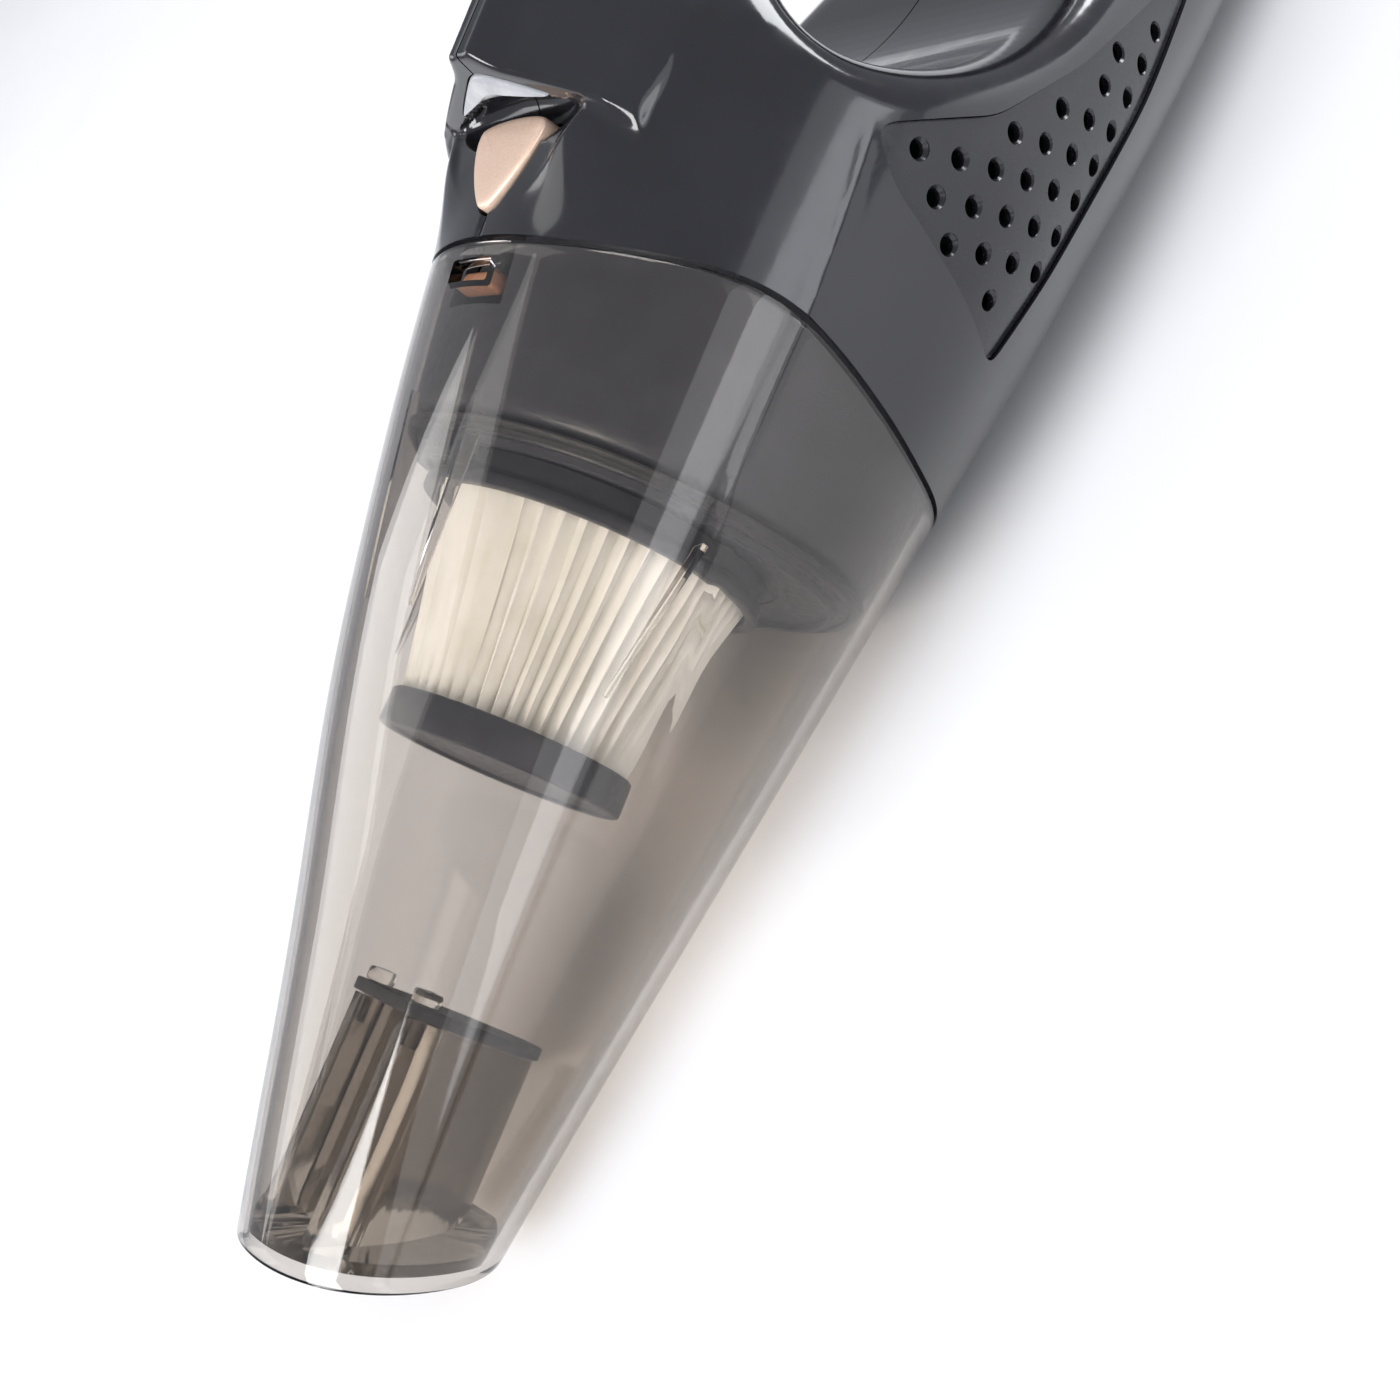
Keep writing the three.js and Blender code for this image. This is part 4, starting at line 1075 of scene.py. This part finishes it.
def make_switch():
    """Slide knob with a thumb dish and grip ridges, over its stem."""
    half_x, half_y, sides = 9, 6.5, 96
    angle = around(sides)
    corner = 4.5
    cos, sin = np.cos(angle), np.sin(angle)
    u = np.sign(cos) * np.abs(cos) ** (2 / corner)
    v = np.sign(sin) * np.abs(sin) ** (2 / corner)

    def knob_ring(scale, lift):
        x, y = half_x * scale * u, half_y * scale * v
        seat = KNOB_SEAT - 0.028 * x - 0.006 * y * y
        dish = -KNOB_DISH * (1 - (x / half_x) ** 2) * min(1, max(0, (lift - 1.5) / 1.2))
        return np.stack([SWITCH_X + x, y, seat + lift + dish], 1)

    steps = ((0.9, 0), (1, 0.25), (1, 1.6), (0.985, 2.1), (0.95, 2.4), (0.88, 2.55),
             (0.7, KNOB_HEIGHT), (0.45, KNOB_HEIGHT), (0.15, KNOB_HEIGHT))
    knob = stack("slide_knob", [knob_ring(scale, lift) for scale, lift in steps])
    ridges = []
    for i in range(5):
        x = SWITCH_X + 1.9 * (i - 2)
        top = KNOB_SEAT + KNOB_HEIGHT - KNOB_DISH * (1 - ((x - SWITCH_X) / half_x) ** 2) + 0.1
        height = (top - 0.8, top + 0.28)
        ridges.append(rounded_block("ridge", (x - 0.45, x + 0.45), (-4.4, 4.4), height, 0.35, 3))
    stem = rounded_block("stem", (SWITCH_X - 5, SWITCH_X + 5), (-2.4, 2.4), (111.4, 118), 0.3)
    place(join(knob, [*ridges, stem]), "switch", "power_switch")


def make_charge_light():
    top = float(upper_at(np.array([LAMP["x"]]))[1][0])
    angle = around(40)
    loops = []
    for radius, z in ((1.9, 107.1), (1.98, 107.4), (1.98, top + 0.05), (1.8, top + 0.28),
                      (1.2, top + 0.42), (0.4, top + 0.48)):
        x = LAMP["x"] + radius * np.cos(angle)
        loops.append(np.stack([x, radius * np.sin(angle), np.full(40, z)], 1))
    place(stack("charge_lamp", loops), "housing", "charge_light")


def make_jack():
    profile = [(0.02, -188.2), (3.2, -188.2), (3.2, -199.2), (3.5, -199.6), (4.4, -199.6),
               (4.7, -199.3), (4.7, -186.2), (0.02, -186.2)]
    angle = around(48)

    def ring(radius, x):
        return np.stack([np.full(48, x), radius * np.cos(angle), JACK["z"] + radius * np.sin(angle)], 1)

    cup = stack("charge_socket", [ring(*pair) for pair in profile])
    pin = stack("pin", [ring(0.9, -188.4), ring(0.95, -196.2), ring(0.6, -197), ring(0.1, -197.2)])
    place(join(cup, [pin]), "housing", "charging_jack")


# ---------- filter ----------

def make_filter():
    place(lathe("end_cap", [
        (0, 0.6), (17.6, 0.6), (18.1, 0.5), (18.5, 0.05), (19, -0.02), (20.2, 0), (20.65, 0.2), (20.8, 0.7),
        (20.8, 5.5), (20.7, 5.9), (20.4, 6.1), (0, 6.1),
    ]), "filter", "filter_cap")
    place(make_pleats(), "filter", "filter_pleats")
    ring = lathe("bayonet_collar", [
        (27.2, 38), (27.5, 37.8), (29, 37.8), (29.35, 38), (29.4, 38.4), (29.4, 39.6), (29.2, 40),
        (28.5, 40.6), (28.4, 41), (28.4, 43.8), (28.2, 44), (21.8, 44), (21.6, 43.8), (21.6, 42.5),
        (27.2, 42.4),
    ])
    ears = []
    for side in (1, -1):
        angle = np.radians(np.linspace(-12.3, 12.3, 17)) + side * math.pi / 2
        outline = np.concatenate([
            np.stack([30.5 * np.cos(angle), 30.5 * np.sin(angle)], 1),
            np.stack([27.8 * np.cos(angle), 27.8 * np.sin(angle)], 1)[::-1],
        ])
        loops = [on_axis(outline[:, 0], outline[:, 1], along) for along in (41.6, 43.6)]
        ears.append(soften(stack("ear", loops), 0.25))
    place(join(ring, ears), "filter", "filter_collar")


def make_pleats():
    """Folded paper cone: outer and inner face of the same zigzag sheet."""
    pleats, per_pleat, rows = 48, 8, 14
    rng = np.random.default_rng(7)
    sway = rng.normal(0, 0.1, pleats)
    start, end = CAP_DEPTH - 0.6, COLLAR_START + 4.3
    angle = around(pleats * per_pleat)
    phase = angle / (2 * math.pi) * pleats
    fold = np.abs((phase % 1) * 2 - 1)
    fold = 0.5 - 0.5 * np.cos(math.pi * fold) * 0.35 + (fold - 0.5) * 0.65
    shift = sway[phase.astype(int) % pleats] * 2 * math.pi / pleats
    loops = []
    for thickness in (0, 0.45):
        lines = []
        for t in np.linspace(0, 1, rows):
            tip = 19.3 + 8.4 * t - 0.5 * math.sin(math.pi * t) - thickness
            valley = tip - 3.4 + 0.9 * t
            radius = valley + (tip - valley) * fold
            turn = angle + shift * math.sin(math.pi * t)
            lines.append(on_axis(radius * np.cos(turn), radius * np.sin(turn), start + (end - start) * t))
        loops.extend(lines if thickness == 0 else lines[::-1])
    return torus("pleated_paper", loops, 60)


def make_filter_frame():
    plate = axis_torus("filter_holder", [
        (44.7, 20), (44.4, 20.3), (44.4, 24),
        (44.4, 30.8), (44.1, 31), (44.1, 32.2),
        (44.4, 32.5), (44.4, -7.6), (43.4, -7.4),
        (43.2, -7.1), (43.2, -6.4), (43.4, -6.1),
        (44.4, -6), (44.5, -5), (44.8, -4.8),
        (46.3, -4.8), (46.6, -5.1), (46.6, 20.3),
        (46.3, 20),
    ], 30)
    hooks = []
    for side in (1, -1):
        leg = hook_block((-4.5, 4.5), (31, 32.4), (40.4, 44.6), side)
        lip = hook_block((-4.5, 4.5), (29.2, 32.2), (40, 41.2), side)
        rib = hook_block((-0.7, 0.7), (32, 35), (41.5, 44.6), side)
        hooks.extend([leg, lip, rib])
    place(join(plate, hooks), "housing", "filter_frame")
    seal = axis_torus("cup_gasket", [
        (44.7, -4.4), (44.6, -4), (44.6, -3.2), (44.9, -2.8),
        (45.3, -3.1), (45.6, -3.1), (46, -2.8), (46.4, -3.2),
        (46.4, -4), (46.3, -4.4),
    ], 60)
    place(seal, "housing", "cup_seal")


def hook_block(across, up, along, side):
    corners = [on_axis(a, side * b, c) for a in across for b in up for c in along]
    return soften(make_object("hook", np.array(corners), BLOCK_FACES), 0.25)


def make_motor_cover():
    rows = [
        (47.3, 20), (47, 20.4), (47, 24),
        (47, -7), (47.1, -5), (47.5, -4),
        (48.4, -3.5), (50, -3.4),
    ]
    rows += [(along, -3.4) for along in np.linspace(52, COVER_END, 9)]
    rows += [(along, -5.4) for along in np.linspace(COVER_END, 52, 9)]
    rows += [(49, -6), (49, 24), (49, 20)]
    cover = axis_torus("motor_dome", rows, 40)
    notch = rounded_block("notch", (30, 58.4), (-7.6, 7.6), (82.2, 110), 0.4)
    boolean(cover, notch, "DIFFERENCE")
    place(cover, "housing", "motor_cover")


# ---------- dust cup ----------

def mouth_x(z):
    return MOUTH["x"] + (z - MOUTH["z"]) * math.tan(MOUTH["lean"])


def cup_ring(share, from_seam, from_mouth, inset):
    """Loop round the cup at a share of the way from the seam to the mouth."""
    angle = around(CUP_SIDES)
    cos, sin = np.cos(angle), np.sin(angle)
    across = np.sign(cos) * np.abs(cos) ** (2 / SECTION_POWER)
    upward = np.sign(sin) * np.abs(sin) ** (2 / SECTION_POWER)
    x = np.full(CUP_SIDES, 47 + 144 * share)
    for _ in range(14):
        _, crown, half = lower_at(x)
        low, high = inset - UNDERSIDE_CUT, crown - inset
        y = (half - inset) * across
        z = np.maximum((low + high) / 2 + (high - low) / 2 * upward, CUP_LIFT + inset)
        if inset == 0:
            ridge = 0.22 * np.exp(-((z - crease_height(x)) / 1.1) ** 2) * (1 - fade(x, 100, 125))
            y = y + np.sign(y) * ridge
        rear = seam_at(z)[0] + SEAM_GAP + from_seam
        front = mouth_x(z) - from_mouth / math.cos(MOUTH["lean"])
        x = rear + (front - rear) * share
    return np.stack([x, y, z], 1)


def make_cup():
    rows = 110
    shares = np.linspace(0, 1, rows)
    loops = [cup_ring(share, 0.45, 0.5, 0) for share in shares]
    loops += [cup_ring(1, 0, d, inset) for d, inset in ((0.15, 0.12), (0, 0.5), (0, 1.7), (0.15, 2.1))]
    loops += [cup_ring(share, 0.45, 0.5, CUP_WALL) for share in shares[::-1]]
    loops += [cup_ring(0, d, 0, inset) for d, inset in ((0.12, 2.1), (0, 1.8), (0, 0.4), (0.12, 0.1))]
    cup = torus("clear_dust_cup", loops, 40)
    reach = SLOT["length"] / 2
    slot = rounded_block("slot", (SLOT["x"] - reach, SLOT["x"] + reach),
                         (-SLOT["half"], SLOT["half"]), (80, 100), 0.5)
    boolean(cup, slot, "DIFFERENCE")
    for y, z, x0, x1 in ((9, 81, 72, 104), (-9, 81, 72, 104), (36.6, 52, 78, 104), (-36.6, 52, 78, 104)):
        boolean(cup, cup_rib(y, z, x0, x1), "UNION")
    place(cup, "cup", "dust_cup")


def cup_rib(y, z, x0, x1):
    """Thin tapering guide rib on the inside of the cup's wall."""
    centre = np.array([0, 42.0])
    outward = np.array([y, z]) - centre
    outward = outward / np.linalg.norm(outward)
    across = np.array([-outward[1], outward[0]]) * 0.55
    loops = []
    for x, depth in ((x0, 3.6), (x1, 0.4)):
        low, high = 5.0, 80.0
        for _ in range(30):
            middle = (low + high) / 2
            point = np.array([[x, *(centre + outward * middle)]])
            if barrel_field(point)[0] > -CUP_WALL:
                high = middle
            else:
                low = middle
        wall = low + 0.8
        corners = []
        for reach, sign in ((wall, 1), (wall, -1), (wall - 0.8 - depth, -1), (wall - 0.8 - depth, 1)):
            spot = centre + outward * reach + across * sign * (1 if reach == wall else 0.6)
            corners.append((x, spot[0], spot[1]))
        loops.append(np.array(corners))
    return stack("rib", loops)


def duct_outline(shrink, high, corner_radius=1.6):
    """Flat-topped oval of the duct, sideways and up, with rounded upper corners."""
    middle = (DUCT["low"] + DUCT["crown"]) / 2
    tall = DUCT["crown"] - middle - shrink
    wide = DUCT["half"] - shrink
    corner = math.asin((high - middle) / tall)
    arc = np.linspace(math.pi - corner, 2 * math.pi + corner, DUCT_SIDES)
    oval = np.stack([wide * np.cos(arc), middle + tall * np.sin(arc)], 1)
    keep = oval[oval[:, 1] < high - corner_radius]
    left, right = keep[0], keep[-1]
    top_left = bezier(right, right + (0.2, corner_radius * 0.8), (right[0] - corner_radius * 0.2, high),
                      (right[0] - corner_radius, high), 6)
    top = bezier((right[0] - corner_radius, high), (3, high), (-3, high), (left[0] + corner_radius, high), 16)
    top_right = bezier((left[0] + corner_radius, high), (left[0] + corner_radius * 0.2, high),
                       left + (-0.2, corner_radius * 0.8), left, 6)
    return np.concatenate([keep, top_left[1:], top, top_right])


def to_mouth(sideways, up, depth):
    """How far along the filter axis a line meets the plane at a depth inside the mouth."""
    normal = np.array([math.cos(MOUTH["lean"]), 0, -math.sin(MOUTH["lean"])])
    start = on_axis(sideways, up, 0) - np.array([MOUTH["x"], 0, MOUTH["z"]])
    return (-depth - start @ normal) / (REARWARD @ normal)


def duct_prism(name, outline, rear, depth):
    """Prism along the filter axis from a plane inside the mouth to a distance behind the cap's front."""
    sideways, up = outline.T
    ends = to_mouth(sideways, up, depth)
    loops = [on_axis(sideways, up, ends + (rear - ends) * t) for t in np.linspace(0, 1, 5)]
    return stack(name, loops)


def make_duct():
    rear = DUCT["rear"] - 0.3
    roof = DUCT["roof"]
    duct = duct_prism("inlet_tube", duct_outline(0.8, roof), rear, FLOOR_DEPTH + 0.6)
    for side in (1, -1):
        y = side * PEG["offset"]
        corners = [(y - 2.6, roof - 1.4), (y + 2.6, roof - 1.4), (y + 1.4, 3.2), (y - 1.4, 3.2)]
        outline = rounded(corners, 0.5, 4)
        boolean(duct, duct_prism("column", outline, rear, FLOOR_DEPTH + 0.6), "UNION")
    depths = (FLOOR_DEPTH, FLOOR_DEPTH + FLOOR_THICKNESS)
    plate = stack("plate", [cup_ring(1, 0, depth, CUP_WALL + 0.05) for depth in depths])
    boolean(duct, plate, "UNION")
    bore = duct_outline(0.8 + DUCT["wall"], roof - DUCT["wall"], 1.2)
    boolean(duct, duct_prism("bore", bore, rear + 3, -12), "DIFFERENCE")
    soften(duct, 0.3, 2, 50)
    place(duct, "cup", "inlet_duct")


def make_flap():
    """Rubber flap, the strip that holds it and their two clear pegs."""
    front = DUCT["rear"]
    sheet = duct_outline(0, DUCT["high"], 1.2)
    lower = sheet.copy()
    lower[:, 1] = np.minimum(lower[:, 1], HINGE_HEIGHT - 0.1)
    upper = np.array([(x, z) for x, z in sheet if z > HINGE_HEIGHT + 0.1])
    right = upper[upper[:, 0] > 0]
    left = upper[upper[:, 0] < 0]
    ends = [(left[-1][0] - 0.1, HINGE_HEIGHT + 0.1), (right[0][0] + 0.1, HINGE_HEIGHT + 0.1)]
    upper = np.concatenate([upper, ends]) if upper[0][0] > 0 else np.concatenate([ends, upper])
    for name, body, node, outline in (("rubber_flap", "flap", "inlet_flap", lower),
                                      ("rubber_strip", "cup", "flap_strip", upper)):
        centre = outline.mean(axis=0)
        loops = []
        for scale, along in ((0.985, front), (1, front + 0.25), (1, front + 1.75), (0.985, front + 2)):
            ring = centre + (outline - centre) * scale if body == "cup" else outline * (scale, 1)
            loops.append(on_axis(ring[:, 0], ring[:, 1], along))
        place(stack(name, loops), body, node)
    for name, side in (("left", 1), ("right", -1)):
        profile = [(0.05, -45.2), (1.3, -45.2), (1.5, -44.8), (1.5, front + 2.1), (2.2, front + 2.3),
                   (2.4, front + 2.6), (2.4, front + 4), (2.1, front + 4.4), (1.1, front + 4.5),
                   (0.9, front + 4.1), (0.05, front + 4)]
        angle = around(40)
        loops = []
        for radius, along in profile:
            sideways = side * PEG["offset"] + radius * np.cos(angle)
            loops.append(on_axis(sideways, PEG["height"] + radius * np.sin(angle), along))
        place(stack(f"clear_peg_{name}", loops), "cup", f"flap_peg_{name}")


# ---------- camera, light and floor ----------

def make_camera():
    right = Vector((-0.47305, 0.59831, -0.64672))
    up = Vector((-0.84995, -0.11664, 0.51378))
    back = Vector((0.23197, 0.79273, 0.56370))
    data = bpy.data.cameras.new("view")
    data.sensor_width = 36
    data.lens = 49.43
    data.clip_start = 0.005
    camera = bpy.data.objects.new("view", data)
    turn = Matrix((right, up, back)).transposed()
    camera.matrix_world = Matrix.Translation((0.1632, 0.2646, 0.2004)) @ turn.to_4x4()
    bpy.context.scene.collection.objects.link(camera)
    bpy.context.scene.camera = camera
    bpy.context.scene.view_settings.view_transform = "Standard"


def area_light(name, location, target, size, power, colour=(1, 1, 1)):
    data = bpy.data.lights.new(name, "AREA")
    data.shape = "RECTANGLE"
    data.size, data.size_y = size
    data.energy = power
    data.color = colour
    lamp = bpy.data.objects.new(name, data)
    lamp.location = location
    lamp.rotation_euler = (Vector(target) - Vector(location)).to_track_quat("-Z", "Y").to_euler()
    bpy.context.scene.collection.objects.link(lamp)


def make_studio():
    world = bpy.data.worlds.new("studio")
    bpy.context.scene.world = world
    world.use_nodes = True
    sky = world.node_tree.nodes["Background"]
    sky.inputs["Color"].default_value = (0.88, 0.9, 0.98, 1)
    sky.inputs["Strength"].default_value = 0.45
    middle = (0.05, 0, 0.05)
    area_light("front_box", (1.7, 0.3, 1.1), middle, (1.0, 1.0), 34)
    area_light("rear_box", (-1.7, 0.5, 1.1), middle, (1.0, 1.0), 34, (0.95, 0.97, 1))
    area_light("far_box", (0.55, -1.35, 0.98), middle, (0.95, 0.75), 5.5)
    area_light("back_box", (0.62, -0.95, 1.6), middle, (0.9, 0.9), 3.5)
    area_light("side_box", (0.1, 1.9, 0.5), middle, (2.2, 0.45), 7, (0.93, 0.95, 1))
    area_light("side_halo", (0.1, 1.95, 0.65), middle, (2.8, 1.0), 8, (0.93, 0.95, 1))
    floor_mesh = bpy.data.meshes.new("floor")
    reach = 5.0
    corners = [(-reach, -reach, 0), (reach, -reach, 0), (reach, reach, 0), (-reach, reach, 0)]
    floor_mesh.from_pydata(corners, [], [(0, 1, 2, 3)])
    floor = bpy.data.objects.new("floor", floor_mesh)
    floor.location.z = -0.0002
    bpy.context.scene.collection.objects.link(floor)
    paint = material("pale_floor", (0.86, 0.86, 0.87), 0.6)
    vary_roughness(paint, noise(paint, 20, 3), 0.55, 0.7)
    floor_mesh.materials.append(paint)


make_camera()
make_studio()
make_housing()
make_grilles()
make_screws()
make_lens()
make_button()
make_latch()
make_switch()
make_charge_light()
make_jack()
make_filter()
make_filter_frame()
make_motor_cover()
make_cup()
make_duct()
make_flap()

for node, obj in frame["nodes"].items():
    dress(obj, NODE_SLOT[node])
